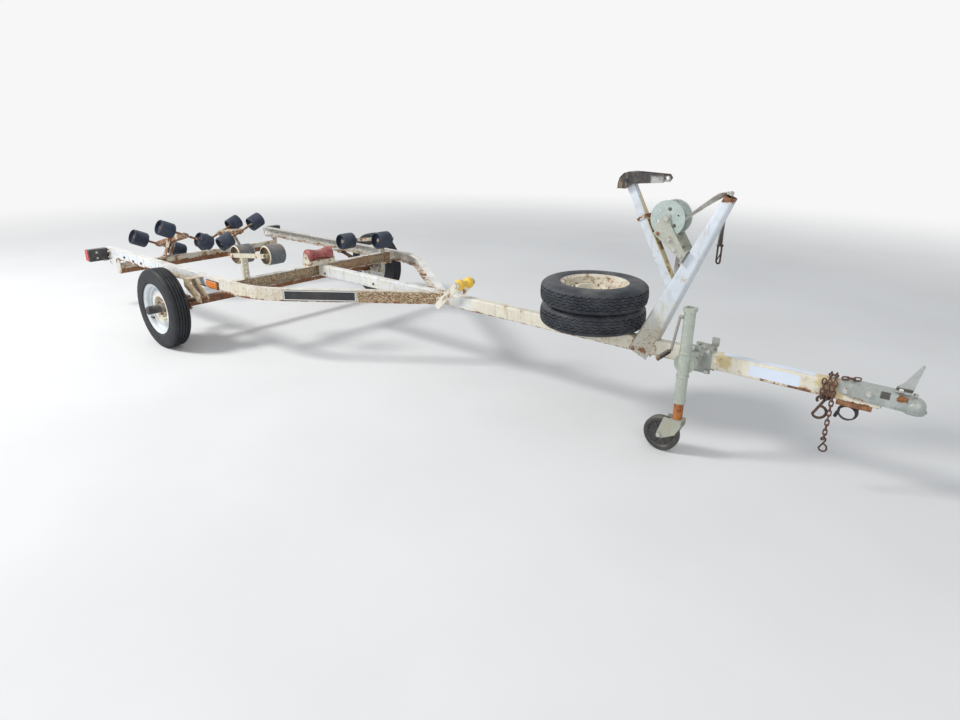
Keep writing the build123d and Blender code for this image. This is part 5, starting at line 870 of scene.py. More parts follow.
def plastic_materials():
    MATERIALS["red"] = lens("Red lens", (0.82, 0.035, 0.030))
    MATERIALS["amber"] = lens("Amber lens", (0.95, 0.27, 0.018))
    make("black", moulded, "Black plastic", (0.018, 0.019, 0.021), 0.48, dust=0.8)
    make("white_plastic", moulded, "White plastic", (0.74, 0.74, 0.70), 0.5)
    make("jack_wheel", moulded, "Jack wheel plastic", (0.024, 0.025, 0.026), 0.55)
    rows = (
        ("decal_black", "Black sticker vinyl", (0.018, 0.019, 0.022), 0.42, 0.5, 0.12),
        ("decal_white", "White sticker vinyl", (0.78, 0.78, 0.74), 0.42, 0.5, 0.1),
        # Pale blue of the blank stickers: painted shade, the bluish look of a white sticker in shade
        ("decal_shade_blue", "Blank sticker vinyl", (0.66, 0.73, 0.84), 0.34, 0.4, 0.15),
    )
    for key, name, colour, rough, dust, fade in rows:
        make(key, moulded, name, colour, rough, dust=dust, fade=fade, bumpiness=0.1)


# CAD nodes by their material and the radius of their rounded edges, 0 for none
FINISHES = {
    ("tongue", 0): ["tongue"],
    ("rail_right", 0.002): ["rail_right"],
    ("rail_left", 0.002): ["rail_left"],
    ("front_cross", 0.0015): ["front_cross_member"],
    ("rear_cross", 0.0015): ["rear_cross_member"],
    ("brackets", 0.001): ["rear_brackets"],
    ("under", 0): ["axle"],
    ("springs", 0.001): ["leaf_springs"],
    ("under", 0.001): ["spring_clamps"],
    ("hangers", 0.001): ["spring_hangers"],
    ("rim", 0): ["rim_right", "rim_left"],
    ("hub", 0): ["hub_right", "hub_left"],
    ("spare_rim", 0): ["spare_rims"],
    ("mid", 0.001): ["mid_supports"],
    ("ringed_rear", 0.002): ["mid_roller_right_rear"],
    ("ringed_front", 0.002): ["mid_roller_right_front"],
    ("roller", 0.002): [
        "mid_roller_left_rear",
        "mid_roller_left_front",
        "cradle_rollers_right_rear",
        "cradle_rollers_right_front",
        "cradle_rollers_left_rear",
        "cradle_rollers_left_front",
    ],
    ("keel_bracket", 0.001): ["keel_bracket"],
    ("keel", 0.003): ["keel_roller"],
    ("bow_bracket", 0.001): ["bow_bracket"],
    ("bow", 0.003): ["bow_roller"],
    ("cradle", 0.0015): ["cradle_right", "cradle_left"],
    ("posts", 0.001): ["cradle_posts"],
    ("post", 0): ["winch_post"],
    ("strut", 0): ["winch_strut"],
    ("bow_stop", 0.0012): ["bow_stop"],
    ("winch", 0.0008): ["winch_frame"],
    ("drum", 0.0004): ["winch_drum"],
    ("coil", 0.002): ["strap_coil"],
    ("crank", 0.0006): ["winch_crank"],
    ("strap", 0.0005): ["winch_strap"],
    ("dark_steel", 0.0025): ["snap_hook"],
    ("coupler", 0.0018): ["coupler"],
    ("latch", 0.0015): ["coupler_latch"],
    ("rust", 0.001): ["chain_hanger"],
    ("mount", 0.0015): ["jack_mount"],
    ("jack", 0.001): ["jack_tube"],
    ("jack_crank", 0): ["jack_crank"],
    ("jack_leg", 0): ["jack_leg"],
    ("fork", 0.0012): ["jack_fork"],
    ("jack_wheel", 0.002): ["jack_wheel"],
    ("black", 0.003): ["tail_lamps"],
    ("red", 0.0015): ["tail_lenses"],
    ("amber", 0.002): ["side_markers"],
}


# Tyres


def mirrored(half, middle):
    """Rows of a tyre's section from its half, without cuts, and the rows between."""
    return [(r, -a, False) for r, a in half] + middle + [(r, a, False) for r, a in reversed(half)]


def tread_rows(grooves, groove_wide, groove_deep):
    """Tyre section from the inner bead over the tread to the outer one.

    Each row: radius, distance along the shaft, whether cross cuts notch it."""
    half = [
        (0.1527, 0.0376), (0.1683, 0.0466), (0.1683, 0.0520), (0.1760, 0.0540), (0.1830, 0.0562),
        (0.1838, 0.0572), (0.1872, 0.0572), (0.1880, 0.0568), (0.1980, 0.0580), (0.2100, 0.0588),
        (0.2200, 0.0586), (0.2300, 0.0577), (0.2306, 0.0582), (0.2334, 0.0581), (0.2340, 0.0571),
        (0.2420, 0.0560), (0.2500, 0.0541),
    ]
    shoulder = [(0.2558, 0.0520), (0.2592, 0.0488), (0.2625, 0.0445)]
    last, span = 0.0405, 0.076

    def crown(a):
        return TYRE_R - 0.0022 * (a / 0.044) ** 2

    def rib(start, end):
        return [(crown(a), a, True) for a in (start + (end - start) * step / 2 for step in range(3))]

    middle = [(r, -a, True) for r, a in shoulder]
    at = -last
    for k in range(grooves):
        mid = -span / 2 + span / grooves * (k + 0.5)
        left, right = mid - groove_wide / 2, mid + groove_wide / 2
        middle += rib(at, left)
        middle.append((crown(left) - groove_deep, left + 0.0005, False))
        middle.append((crown(right) - groove_deep, right - 0.0005, False))
        at = right
    middle += rib(at, last) + [(r, a, True) for r, a in reversed(shoulder)]
    return mirrored(half, middle)


def spare_rows(grooves, wide, deep):
    """Section of the older spare tyres: round shoulders and several zigzag grooves."""
    half = [
        (0.1527, 0.0376), (0.1683, 0.0466), (0.1683, 0.0522), (0.1730, 0.0542), (0.1790, 0.0564),
        (0.1870, 0.0580), (0.1960, 0.0588), (0.2060, 0.0589), (0.2160, 0.0584), (0.2250, 0.0573),
        (0.2330, 0.0556), (0.2400, 0.0532), (0.2460, 0.0502), (0.2512, 0.0466), (0.2555, 0.0424),
        (0.2585, 0.0386),
    ]
    edge, span = 0.0012, 0.070

    def crown(a):
        return TYRE_R - 0.0050 * (a / 0.036) ** 2

    middle = []
    for k in range(grooves):
        mid = -span / 2 + span / grooves * (k + 0.5)
        left, right = mid - wide / 2, mid + wide / 2
        middle += [(crown(a), a, True) for a in (left - edge, left)]
        middle.append((crown(left) - deep, left + 0.0004, False))
        middle.append((crown(right) - deep, right - 0.0004, False))
        middle += [(crown(a), a, True) for a in (right, right + edge)]
    return mirrored(half, middle)


def tyre_into(bm, place, rows, cuts, cut_deep, zigzag=0.0):
    """A tyre round the local Z axis, its ribs cut across like a road tread.

    zigzag: how far the grooves swing to each side."""
    # Share of each pitch, and whether that ring lies in a cut
    steps = ((0.0, 0), (0.80, 0), (0.84, 1), (0.96, 1))
    rings = []
    for at, low in ((cut + share, low) for cut in range(cuts) for share, low in steps):
        ring = []
        for r, a, notched in rows:
            lag = 0.35 * math.sin(a * 140.0) if notched else 0.0
            if notched and low:
                r -= cut_deep
            if abs(a) < 0.0375:
                a += zigzag * (4 * abs((at / 2) % 1 - 0.5) - 1)
            ring.append(bm.verts.new(place @ on_circle(r, 2 * math.pi * (at + lag) / cuts, a)))
        rings.append(ring)
    count = len(rows)
    for k, one in enumerate(rings):
        two = rings[(k + 1) % len(rings)]
        for j in range(count):
            n = (j + 1) % count
            bm.faces.new((one[j], one[n], two[n], two[j]))


def wheel_place(sign):
    """Middle of a road wheel, with local Z pointing outward."""
    return axis_frame((AXLE_X, sign * WHEEL_Y, AXLE_Z), (0, sign, 0))


# Settings


class TrailerSettings(bpy.types.PropertyGroup):
    rust: bpy.props.FloatProperty(
        name="Rust", description="How much rust breaks through the enamel", default=1.0, min=0.0, max=1.6
    )
    dust: bpy.props.FloatProperty(
        name="Dust", description="How much dust lies on top", default=0.34, min=0.0, max=1.0
    )
    grooves: bpy.props.IntProperty(
        name="Tread grooves", description="Grooves round each road tyre", default=4, min=3, max=6
    )
    groove_wide: bpy.props.FloatProperty(
        name="Groove width", description="Width of a tread groove",
        default=0.0072, unit="LENGTH", subtype="DISTANCE",
    )
    groove_deep: bpy.props.FloatProperty(
        name="Groove depth", description="Depth of a tread groove",
        default=0.0080, unit="LENGTH", subtype="DISTANCE",
    )
    cuts: bpy.props.IntProperty(
        name="Tread cuts", description="Cross cuts round each tyre", default=76, min=24, max=110
    )
    cut_deep: bpy.props.FloatProperty(
        name="Cut depth", description="Depth of a cross cut",
        default=0.0020, unit="LENGTH", subtype="DISTANCE",
    )
    sticker_lift: bpy.props.FloatProperty(
        name="Sticker lift", description="How far a sticker stands off its face",
        default=0.0004, unit="LENGTH", subtype="DISTANCE",
    )
    key_power: bpy.props.FloatProperty(
        name="Key light", description="Power of the key light", default=540.0, unit="POWER"
    )
    fill_power: bpy.props.FloatProperty(
        name="Fill light", description="Power of the fill light", default=120.0, unit="POWER"
    )
    seed: bpy.props.IntProperty(name="Seed", description="Seed of the small irregularities", default=7)


class TrailerOperator(bpy.types.Operator):
    bl_options = {"REGISTER", "UNDO"}

    @property
    def settings(self):
        return bpy.context.scene.trailer


class TRAILER_OT_finishes(TrailerOperator):
    """Materials and rounded edges on every carried-over CAD node"""

    bl_idname = "trailer.finishes"
    bl_label = "Finishes"

    def execute(self, context):
        build_effects()
        rail_enamels()
        tongue_enamel()
        cross_member_enamels()
        bracket_enamels()
        winch_post_enamels()
        wheel_materials()
        roller_materials()
        plated_materials()
        rusty_materials()
        webbing_materials()
        plastic_materials()
        for (finish_name, width), nodes in FINISHES.items():
            for node in nodes:
                dress(node, finish_name, width)
        return {"FINISHED"}


SPARE_CUTS = 84


class TRAILER_OT_tyres(TrailerOperator):
    """Road tyres and spare tyres with ribbed, cross-cut treads"""

    bl_idname = "trailer.tyres"
    bl_label = "Tyres"

    def execute(self, context):
        s = self.settings
        rows = tread_rows(s.grooves, s.groove_wide, s.groove_deep)
        for side, sign in SIDES:
            bm = bmesh.new()
            tyre_into(bm, wheel_place(sign), rows, s.cuts, s.cut_deep)
            piece = keep(f"tread_tyre_{side}", bm, f"wheel_{side}", "tyre", angle=38)
            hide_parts(f"tyre_{side}")
        bm = bmesh.new()
        for k, centre in enumerate(SPARES):
            place = axis_frame(centre, (0, 0, 1)) @ Matrix.Rotation(0.4 * k, 4, "Z")
            rows = spare_rows(grooves=5, wide=0.0050, deep=0.0064)
            tyre_into(bm, place, rows, SPARE_CUTS, cut_deep=0.0016, zigzag=0.0038)
        piece = keep("tread_tyres_spare", bm, "chassis", "spare_tyre", angle=38)
        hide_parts("spare_tyres")
        return {"FINISHED"}


def valve_into(bm, place, turn):
    """A rubber valve with its cap, through the rim's barrel."""
    foot = place @ on_circle(0.1455, turn, 0.024)
    tip = place @ on_circle(0.128, turn, 0.047)
    stem = [(0.0, 0.0), (0.0075, 0.0), (0.0075, 0.004), (0.0048, 0.007), (0.0042, 0.019)]
    cap = [(0.0050, 0.020), (0.0050, 0.028), (0.0036, 0.030), (0.0, 0.030)]
    lathe(bm, stem + cap, axis_frame(foot, tip - foot), 18)


class TRAILER_OT_valves(TrailerOperator):
    """Tyre valves on the road wheels and the upper spare wheel"""

    bl_idname = "trailer.valves"
    bl_label = "Valves"

    def execute(self, context):
        wheels = [(f"valve_{side}", f"wheel_{side}", wheel_place(sign), 2.2) for side, sign in SIDES]
        wheels.append(("valve_spare", "chassis", axis_frame(SPARES[1], (0, 0, 1)), 4.4))
        for name, body, place, turn in wheels:
            bm = bmesh.new()
            valve_into(bm, place, turn)
            keep(name, bm, body, "black")
        return {"FINISHED"}


# Chains

WRAP_X = AXLE_X + 3.793
WRAP_Y = 0.0353
WRAP_TOP = 0.4848
WRAP_BOTTOM = 0.3892
LINK_PITCH = 0.0214


def chain_runs():
    """Straight runs of the chain round the tongue: start, direction, number of links."""
    runs = [
        ((WRAP_X, -WRAP_Y, WRAP_TOP - 0.008), (0, 0, -1), 4),
        ((AXLE_X + 3.851, -0.012, 0.4896), (1, 0.5, 0), 3),
    ]
    for turn, down in ((0, 4), (1, 12)):
        x = WRAP_X + turn * 0.020
        runs += [
            ((x, -WRAP_Y + 0.012, WRAP_BOTTOM), (0.12, 1, 0), 2),
            ((x + 0.008, WRAP_Y, WRAP_BOTTOM + 0.012), (0, 0, 1), 4),
            ((x + 0.010, WRAP_Y - 0.012, WRAP_TOP), (0.12, -1, 0), 2),
            ((x + 0.020, -WRAP_Y, WRAP_TOP - 0.008), (0, 0, -1), down),
        ]
    return runs


def link_into(bm, place, half_long, half_wide, wire, segments=8):
    """A chain link: a stadium of round wire in the local XY plane, long along X."""
    bend = half_wide - wire
    straight = half_long - wire - bend
    points = []
    for end in (1, -1):
        for k in range(7):
            a = -math.pi / 2 + math.pi * k / 6
            points.append((end * (straight + bend * math.cos(a)), end * bend * math.sin(a), 0.0))
    rod(bm, [place @ Vector(p) for p in points], wire, segments, closed=True)


def hook_into(bm, end, lean, size):
    """An S hook hanging from a chain's end."""
    place = Matrix.Translation(end + Vector((0, 0, 0.003)))
    place = place @ Matrix.Rotation(lean, 4, "Z") @ Matrix.Scale(size, 4)
    points = []
    for k in range(9):
        a = math.pi * 1.25 - math.pi * 1.35 * k / 8
        points.append((0.009 * math.cos(a), 0.0, -0.004 + 0.009 * math.sin(a)))
    for k in range(13):
        a = math.pi * 0.15 + math.pi * 1.35 * k / 12
        points.append((0.002 - 0.017 * math.cos(a), 0.0, -0.040 - 0.017 * math.sin(a)))
    rod(bm, [place @ Vector(p) for p in points], 0.0036 * size, 10)


class TRAILER_OT_chains(TrailerOperator):
    """Round-wire safety chain links wound round the tongue, and the hook on each loose end"""

    bl_idname = "trailer.chains"
    bl_label = "Chains"

    def execute(self, context):
        chance = random.Random(self.settings.seed)
        bm = bmesh.new()
        ends = []
        for start, way, count in chain_runs():
            way = Vector(way).normalized()
            flat = Vector((0, 1, 0)) if abs(way.y) < 0.5 else Vector((0, 0, 1))
            for step in range(count):
                z = flat if step % 2 == 0 else way.cross(flat)
                origin = Vector(start) + way * (LINK_PITCH * (step + 0.5))
                y = z.cross(way)
                place = Matrix.Translation(origin) @ Matrix((way, y, z)).transposed().to_4x4()
                place = place @ Matrix.Rotation(chance.uniform(-0.10, 0.10), 4, "X")
                link_into(bm, place, 0.0165, 0.0098, 0.0030)
            ends.append(Vector(start) + way * (LINK_PITCH * count))
        piece = keep("chain_links", bm, "chassis", "chain", angle=50)
        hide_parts("safety_chains")
        bm = bmesh.new()
        hook_into(bm, ends[0], 0.3, 1.55)
        hook_into(bm, ends[-1], -0.2, 1.0)
        keep("chain_hooks", bm, "chassis", "dark_steel", angle=50)
        return {"FINISHED"}


# Stickers

PANEL_LONG = 0.452
PANEL_TURN = math.radians(36.5)


def panel_into(bm, corner, along, up, length, height, lift, rings=((0.0, 0),)):
    """A flat sticker as nested rectangles. rings: inset, material index, from the outside in."""
    along, up = Vector(along).normalized(), Vector(up).normalized()
    out = along.cross(up).normalized()
    base = Vector(corner) + out * lift
    loops = []
    for inset, _ in rings:
        x, y = (inset, length - inset), (inset, height - inset)
        corners = ((x[0], y[0]), (x[1], y[0]), (x[1], y[1]), (x[0], y[1]))
        loops.append([bm.verts.new(base + along * a + up * b) for a, b in corners])
    for k, (_, index) in enumerate(rings[:-1]):
        for j in range(4):
            n = (j + 1) % 4
            face = bm.faces.new((loops[k][j], loops[k][n], loops[k + 1][n], loops[k + 1][j]))
            face.material_index = index
    bm.faces.new(loops[-1]).material_index = rings[-1][1]
    back = [bm.verts.new(v.co - out * (lift * 0.9)) for v in loops[0]]
    for j in range(4):
        n = (j + 1) % 4
        bm.faces.new((back[j], back[n], loops[0][n], loops[0][j])).material_index = rings[0][1]
    bm.faces.new(list(reversed(back))).material_index = rings[0][1]


class TRAILER_OT_stickers(TrailerOperator):
    """Blank stickers: a black panel with a white line on each rail, a pale plate on the tongue"""

    bl_idname = "trailer.stickers"
    bl_label = "Stickers"

    def execute(self, context):
        lift = self.settings.sticker_lift
        rings = ((0.0, 0), (0.0028, 1), (0.0080, 0))
        for side, sign in SIDES:
            bm = bmesh.new()
            along = Vector((-sign * math.cos(PANEL_TURN), math.sin(PANEL_TURN), 0))
            start = 0.010 if sign < 0 else -0.010 - PANEL_LONG
            corner = Vector((-0.4576, sign * 0.6073, 0.4035)) + along * start
            panel_into(bm, corner, along, (0, 0, 1), PANEL_LONG, 0.067, lift, rings)
            keep(f"rail_panel_{side}", bm, "chassis", "decal_black", "decal_white", smooth=False)
        bm = bmesh.new()
        # The tongue's stickers take the pale blue of painted shade
        panel_into(bm, (2.0295, -0.0175, FRAME_TOP), (1, 0, 0), (0, 1, 0), 0.376, 0.035, lift)
        panel_into(bm, (2.1525, -TONGUE_HALF, 0.4125), (1, 0, 0), (0, 0, 1), 0.205, 0.050, lift)
        keep("tongue_plates", bm, "chassis", "decal_shade_blue", smooth=False)
        return {"FINISHED"}


# Welds and fixings

RAIL_OUTSIDE = 0.7252
RAIL_BOLTS = ((-2.370, 0.432), (-2.219, 0.422), (-2.085, 0.425))
TONGUE_BOLTS = ((-0.280, 0.429), (-0.790, 0.422))
COUPLER_BOLTS = ((2.528, 0.446), (2.610, 0.453))
JACK_PLATE_X = (1.9045, 1.9725)
JACK_PLATE_Z = (0.486, 0.388)
SPRING_EYE = (AXLE_X + 0.285, 0.3500)
CLAMP_BOTTOM = 0.2330
CLAMP_TOP = 0.3190


def weld_into(bm, start, end, radius, chance):
    """A weld bead of overlapping ripples."""
    start, end = Vector(start), Vector(end)
    count = max(4, int((end - start).length / 0.004))
    points = [start.lerp(end, k / count) for k in range(count + 1)]
    ripples = [0.82 + 0.22 * abs(math.sin(k * 1.9)) + chance.uniform(-0.06, 0.06) for k in range(count + 1)]
    rod(bm, points, lambda i: radius * ripples[i], 8)


class TRAILER_OT_welds(TrailerOperator):
    """Weld beads where the frame's members meet"""

    bl_idname = "trailer.welds"
    bl_label = "Welds"

    def execute(self, context):
        chance = random.Random(self.settings.seed + 1)
        low, top = FRAME_BOTTOM, FRAME_TOP
        bm = bmesh.new()
        for _, sign in SIDES:
            y, member, hanger = sign * TONGUE_HALF, sign * 0.681, sign * 0.7255
            weld_into(bm, (0.3265, y, low + 0.004), (0.3265, y, top - 0.004), 0.0035, chance)
            weld_into(bm, (0.2675, y, top - 0.001), (0.3235, y, top - 0.001), 0.0030, chance)
            weld_into(bm, (-0.8565, y, low + 0.006), (-0.8565, y, top - 0.006), 0.0030, chance)
            weld_into(bm, (-0.8875, member, top - 0.0005), (-0.8585, member, top - 0.0005), 0.0028, chance)
            weld_into(bm, (AXLE_X + 0.112, hanger, 0.4575), (AXLE_X + 0.166, hanger, 0.4575), 0.0028, chance)
        keep("weld_beads", bm, "chassis", "hangers", angle=60)
        return {"FINISHED"}


def chassis_bolts():
    rows = []
    for _, sign in SIDES:
        # U bolt nuts below each axle clamp, and the bolt ends above it
        for dx in (-0.031, 0.031):
            for dy in (-0.028, 0.028):
                x, y = AXLE_X + dx, sign * SPRING_Y + dy
                rows.append(((x, y, CLAMP_BOTTOM), (0, 0, -1), 0.017, 0.008, 0.010, 0.0))
                rows.append(((x, y, CLAMP_TOP), (0, 0, 1), 0.014, 0.005, 0.0, 0.0))
        # Spring eye bolt
        x, z = SPRING_EYE
        rows.append(((x, sign * 0.8285, z), (0, sign, 0), 0.022, 0.009, 0.0, 0.0))
        rows.append(((x, sign * 0.7715, z), (0, -sign, 0), 0.022, 0.009, 0.0, 0.0))
        # Rear cross member brackets, bolted up into the rails
        for dx in (-0.020, 0.020):
            rows.append(((REAR_CROSS_X + dx, sign * 0.700, 0.3930), (0, 0, -1), 0.017, 0.008, 0.011, 0.004))
        # Side marker screws
        for dx in (-0.0675, 0.0675):
            rows.append(((MARKER_X + dx, sign * 0.7290, MARKER_Z), (0, sign, 0), 0.007, 0.0016, 0.0, 0.0))
    bolts("chassis_bolts", "chassis", "bolt", rows)


def dark_bolts():
    """Dark bolts through the rails and the tongue."""
    rows = []
    for _, sign in SIDES:
        for x, z in RAIL_BOLTS:
            rows.append(((x, sign * RAIL_OUTSIDE, z), (0, sign, 0), 0.017, 0.007, 0.0, 0.0))
        for x, z in TONGUE_BOLTS:
            rows.append(((x, sign * (TONGUE_HALF - 0.0002), z), (0, sign, 0), 0.014, 0.005, 0.0, 0.0))
    bolts("dark_bolts", "chassis", "dark_steel", rows)


class TRAILER_OT_fixings(TrailerOperator):
    """Bolts, nuts and washers of the chassis"""

    bl_idname = "trailer.fixings"
    bl_label = "Fixings"

    def execute(self, context):
        chassis_bolts()
        dark_bolts()
        rows = []
        for z in JACK_PLATE_Z:
            for x in JACK_PLATE_X:
                for _, sign in SIDES:
                    rows.append(((x, sign * 0.0425, z), (0, sign, 0), 0.017, 0.006, 0.0, 0.0))
        bolts("jack_mount_nuts", "chassis", "bolt", rows)
        bm = bmesh.new()
        slab(bm, (1.976, 0.0285, 0.514), (0.034, 0.006, 0.040), 0.002, 2)
        keep("jack_mount_tab", bm, "chassis", "mount")
        # Coupler bolts through the tongue's end
        rows = []
        for x, z in COUPLER_BOLTS:
            for _, sign in SIDES:
                high, stub = (0.011, 0.005) if sign > 0 else (0.009, 0.0)
                rows.append(((x, sign * 0.0303, z), (0, sign, 0), 0.019, high, 0.013, stub))
        bolts("coupler_bolts", "chassis", "bolt", rows)
        return {"FINISHED"}


# Winch details

POST_RAKE = math.radians(24.3)
PINION = (1.739, 0.9549)
STRAP_RUN = (
    (1.7430, 0.000, 1.0065),
    (1.7800, 0.000, 1.0420),
    (1.8137, 0.001, 1.0725),
    (1.8694, 0.001, 1.1170),
    (1.9150, 0.000, 1.1500),
    (1.9420, 0.000, 1.1662),
    (1.9540, 0.007, 1.1640),
    (1.9610, 0.019, 1.1590),
    (1.9560, 0.0315, 1.1430),
    (1.9470, 0.0365, 1.1050),
    (1.9370, 0.0370, 1.0380),
    (1.9320, 0.0370, 0.9870),
    (1.9320, 0.0370, 0.9400),
)
STRAP_WIDE = 0.044


def on_post(up, back, y=0.0):
    """A point on the raked winch post: along it, behind it, and to the side."""
    sine, cosine = math.sin(POST_RAKE), math.cos(POST_RAKE)
    return Vector((1.6345 + sine * up - cosine * back, y, 0.399 + cosine * up + sine * back))


def winch_bolts():
    rows, nuts = [], []
    for _, sign in SIDES:
        face, out = sign * 0.0520, (0, sign, 0)
        for up, back, across in ((0.545, 0.195, 0.013), (0.522, 0.092, 0.013), (0.515, 0.056, 0.015)):
            rows.append((on_post(up, back, face), out, across, 0.005, across * 0.72, 0.0))
        at = Vector((PINION[0], face - sign * 0.0004, PINION[1]))
        rows.append((at, out, 0.019, 0.009, 0.0150, 0.004))
        nuts.append((on_post(0.622, 0.190, sign * 0.0578), out, 0.022, 0.007, 0.0, 0.0))
    bolts("winch_frame_bolts", "chassis", "bolt", rows)
    bolts("winch_drum_nuts", "winch_drum", "bolt", nuts)
    # Spacer tube between the side plates
    bm = bmesh.new()
    tube = [(0.0, -0.048), (0.0065, -0.048), (0.0065, 0.048), (0.0, 0.048)]
    lathe(bm, tube, axis_frame(on_post(0.522, 0.092), (0, 1, 0)), 20)
    keep("winch_spacers", bm, "chassis", "winch")


def strap_webbing():
    """A limp twisted run to the post's top, over it, and down behind."""
    path = curve_through(STRAP_RUN, 7)
    last = len(path) - 1
    sides, widths = [], []
    for k in range(len(path)):
        u = k / last
        run = (path[min(k + 1, last)] - path[max(k - 1, 0)]).normalized()
        twist = math.radians(25.0) * min((u / 0.34) ** 1.5, max(0.0, (0.46 - u) / 0.10), 1.0)
        if u > 0.62:
            twist = math.radians(24.0) * math.sin((u - 0.62) * 14.0)
        across = Vector((0, 1, 0)) - run * run.y
        sides.append(across * math.cos(twist) - run.cross(across) * math.sin(twist))
        folded = 0.016 * min(1.0, (u - 0.50) / 0.12)
        widths.append(STRAP_WIDE if u < 0.50 else STRAP_WIDE - folded)
    bm = bmesh.new()
    ribbon(bm, path, sides, widths, 0.0026)
    strap = keep("strap_webbing", bm, "chassis", "strap", angle=45)
    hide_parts("winch_strap")


def forged_hook():
    """A forged snap hook, turned a little, with the sprung tongue inside."""
    bm = bmesh.new()
    place = axis_frame((1.9330, 0.0370, 0.9030), (0.35, 1.0, 0.0), (0.0, 0.0, 1.0))
    link_into(bm, place, 0.0440, 0.0140, 0.0040, 10)
    spring = ((0.030, 0.0088, 0.0), (0.004, 0.0070, 0.0015), (-0.024, -0.0060, 0.0))
    rod(bm, [place @ Vector(p) for p in spring], 0.0024, 8)
    barrel = [(0.0, -0.014), (0.0046, -0.014), (0.0052, 0.0), (0.0046, 0.014), (0.0, 0.014)]
    lathe(bm, barrel, axis_frame((1.9330, 0.0370, 0.9420), (1.0, 0.3, 0.0)), 16)
    hook = keep("hook_forged", bm, "chassis", "dark_steel", angle=50)
    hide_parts("snap_hook")


class TRAILER_OT_winch(TrailerOperator):
    """Bolts, spacer tube, strap and snap hook of the winch"""

    bl_idname = "trailer.winch_details"
    bl_label = "Winch details"

    def execute(self, context):
        winch_bolts()
        strap_webbing()
        forged_hook()
        return {"FINISHED"}


# Rollers' pins

KEEL_PIN = (-0.8855, 0.1125, 0.545)
BOW_PIN = (0.4927, 0.0785, 0.549)
MIDDLE_PIN_Y = 0.4685
# Side, then X and Z of the rear and front middle rollers' shafts
SHAFT_ENDS = {-1: ((-1.0143, 0.6056), (-0.6567, 0.6464)), 1: ((-1.2016, 0.5332), (-0.7754, 0.5908))}


class TRAILER_OT_pins(TrailerOperator):
    """Split pins on the roller shafts"""

    bl_idname = "trailer.shaft_pins"
    bl_label = "Shaft pins"

    def execute(self, context):
        bm = bmesh.new()
        for _, sign in SIDES:
            # Keel roller and bow roller: a pin with its eye on top
            for x, y, z in (KEEL_PIN, BOW_PIN):
                end = Vector((x, sign * y, z))
                rod(bm, [end + Vector((0, 0, -0.019)), end + Vector((0, 0, 0.016))], 0.0016, 8)
                eye = axis_frame(end + Vector((0, 0, 0.0185)), (0, 1, 0), (0, 0, 1))
                link_into(bm, eye, 0.0045, 0.0035, 0.0013)
            for x, z in SHAFT_ENDS[sign]:
                end = Vector((x, sign * MIDDLE_PIN_Y, z))
                rod(bm, [end + Vector((0, 0, -0.014)), end + Vector((0, 0, 0.014))], 0.0015, 8)
        keep("shaft_pins", bm, "chassis", "bolt", angle=50)
        return {"FINISHED"}


# Lamps and wiring

LAMP_Y = 0.800
LAMP_Z = 0.424
LAMP_FACE_X = -2.7350
LAMP_BACK_X = -2.6625
LAMP_BRACKET_X = -2.6425
MARKER_X = -1.050
MARKER_Z = 0.431


def tail_lens_ribs():
    """Ribs across each rear lens, and the red window on the lamp's outer side with its ribs."""
    bm = bmesh.new()
    for _, sign in SIDES:
        for k in range(9):
            slab(bm, (-2.7362, sign * LAMP_Y, 0.3865 + k * 0.0094), (0.0010, 0.118, 0.0022), 0.0004)
        slab(bm, (-2.7080, sign * 0.8706, LAMP_Z), (0.0530, 0.0040, 0.086), 0.0015, 2)
        for k in range(7):
            slab(bm, (-2.7310 + k * 0.0078, sign * 0.8727, LAMP_Z), (0.0020, 0.0010, 0.078), 0.0004)
    keep("tail_lens_ribs", bm, "chassis", "red")


def lamp_fixings():
    head = [(0.0, 0.0), (0.0050, 0.0), (0.0050, 0.0007), (0.0034, 0.0013), (0.0, 0.0014)]
    bm = bmesh.new()
    rows = []
    for _, sign in SIDES:
        for dy in (-0.052, 0.052):
            lathe(bm, head, axis_frame((LAMP_FACE_X, sign * LAMP_Y + dy, LAMP_Z), (-1, 0, 0)), 14)
        for dz in (-0.022, 0.022):
            z = LAMP_Z + dz
            rows.append(((LAMP_BACK_X, sign * 0.812, z), (1, 0, 0), 0.012, 0.006, 0.009, 0.006))
            rows.append(((LAMP_BRACKET_X, sign * 0.7300, z), (0, sign, 0), 0.013, 0.006, 0.009, 0.003))
    keep("tail_lens_screws", bm, "chassis", "bolt")
    bolts("lamp_bolts", "chassis", "bolt", rows)


def lamp_wires():
    """Two wires from each tail lamp into the rail's end, and the white tab below the right lamp."""
    bm = bmesh.new()
    for _, sign in SIDES:
        for k in range(2):
            start = Vector((LAMP_BACK_X, sign * (0.775 + 0.016 * k), 0.405))
            loop = [
                start,
                start + Vector((0.018, 0, -0.006)),
                start + Vector((0.034, -sign * 0.014, -0.020 - 0.006 * k)),
                Vector((-2.6225, sign * 0.742, 0.392 - 0.006 * k)),
                Vector((-2.6045, sign * 0.722, 0.4015)),
                Vector((-2.5825, sign * 0.712, 0.4065)),
            ]
            rod(bm, curve_through(loop), 0.0018, 8)
    keep("lamp_wires", bm, "chassis", "black")
    bm = bmesh.new()
    place = Matrix.Translation((-2.6375, -0.7275, 0.372)) @ Matrix.Rotation(0.12, 4, "Y")
    slab(bm, place, (0.040, 0.0022, 0.052), 0.0008)
    keep("lamp_tab", bm, "chassis", "white_plastic")


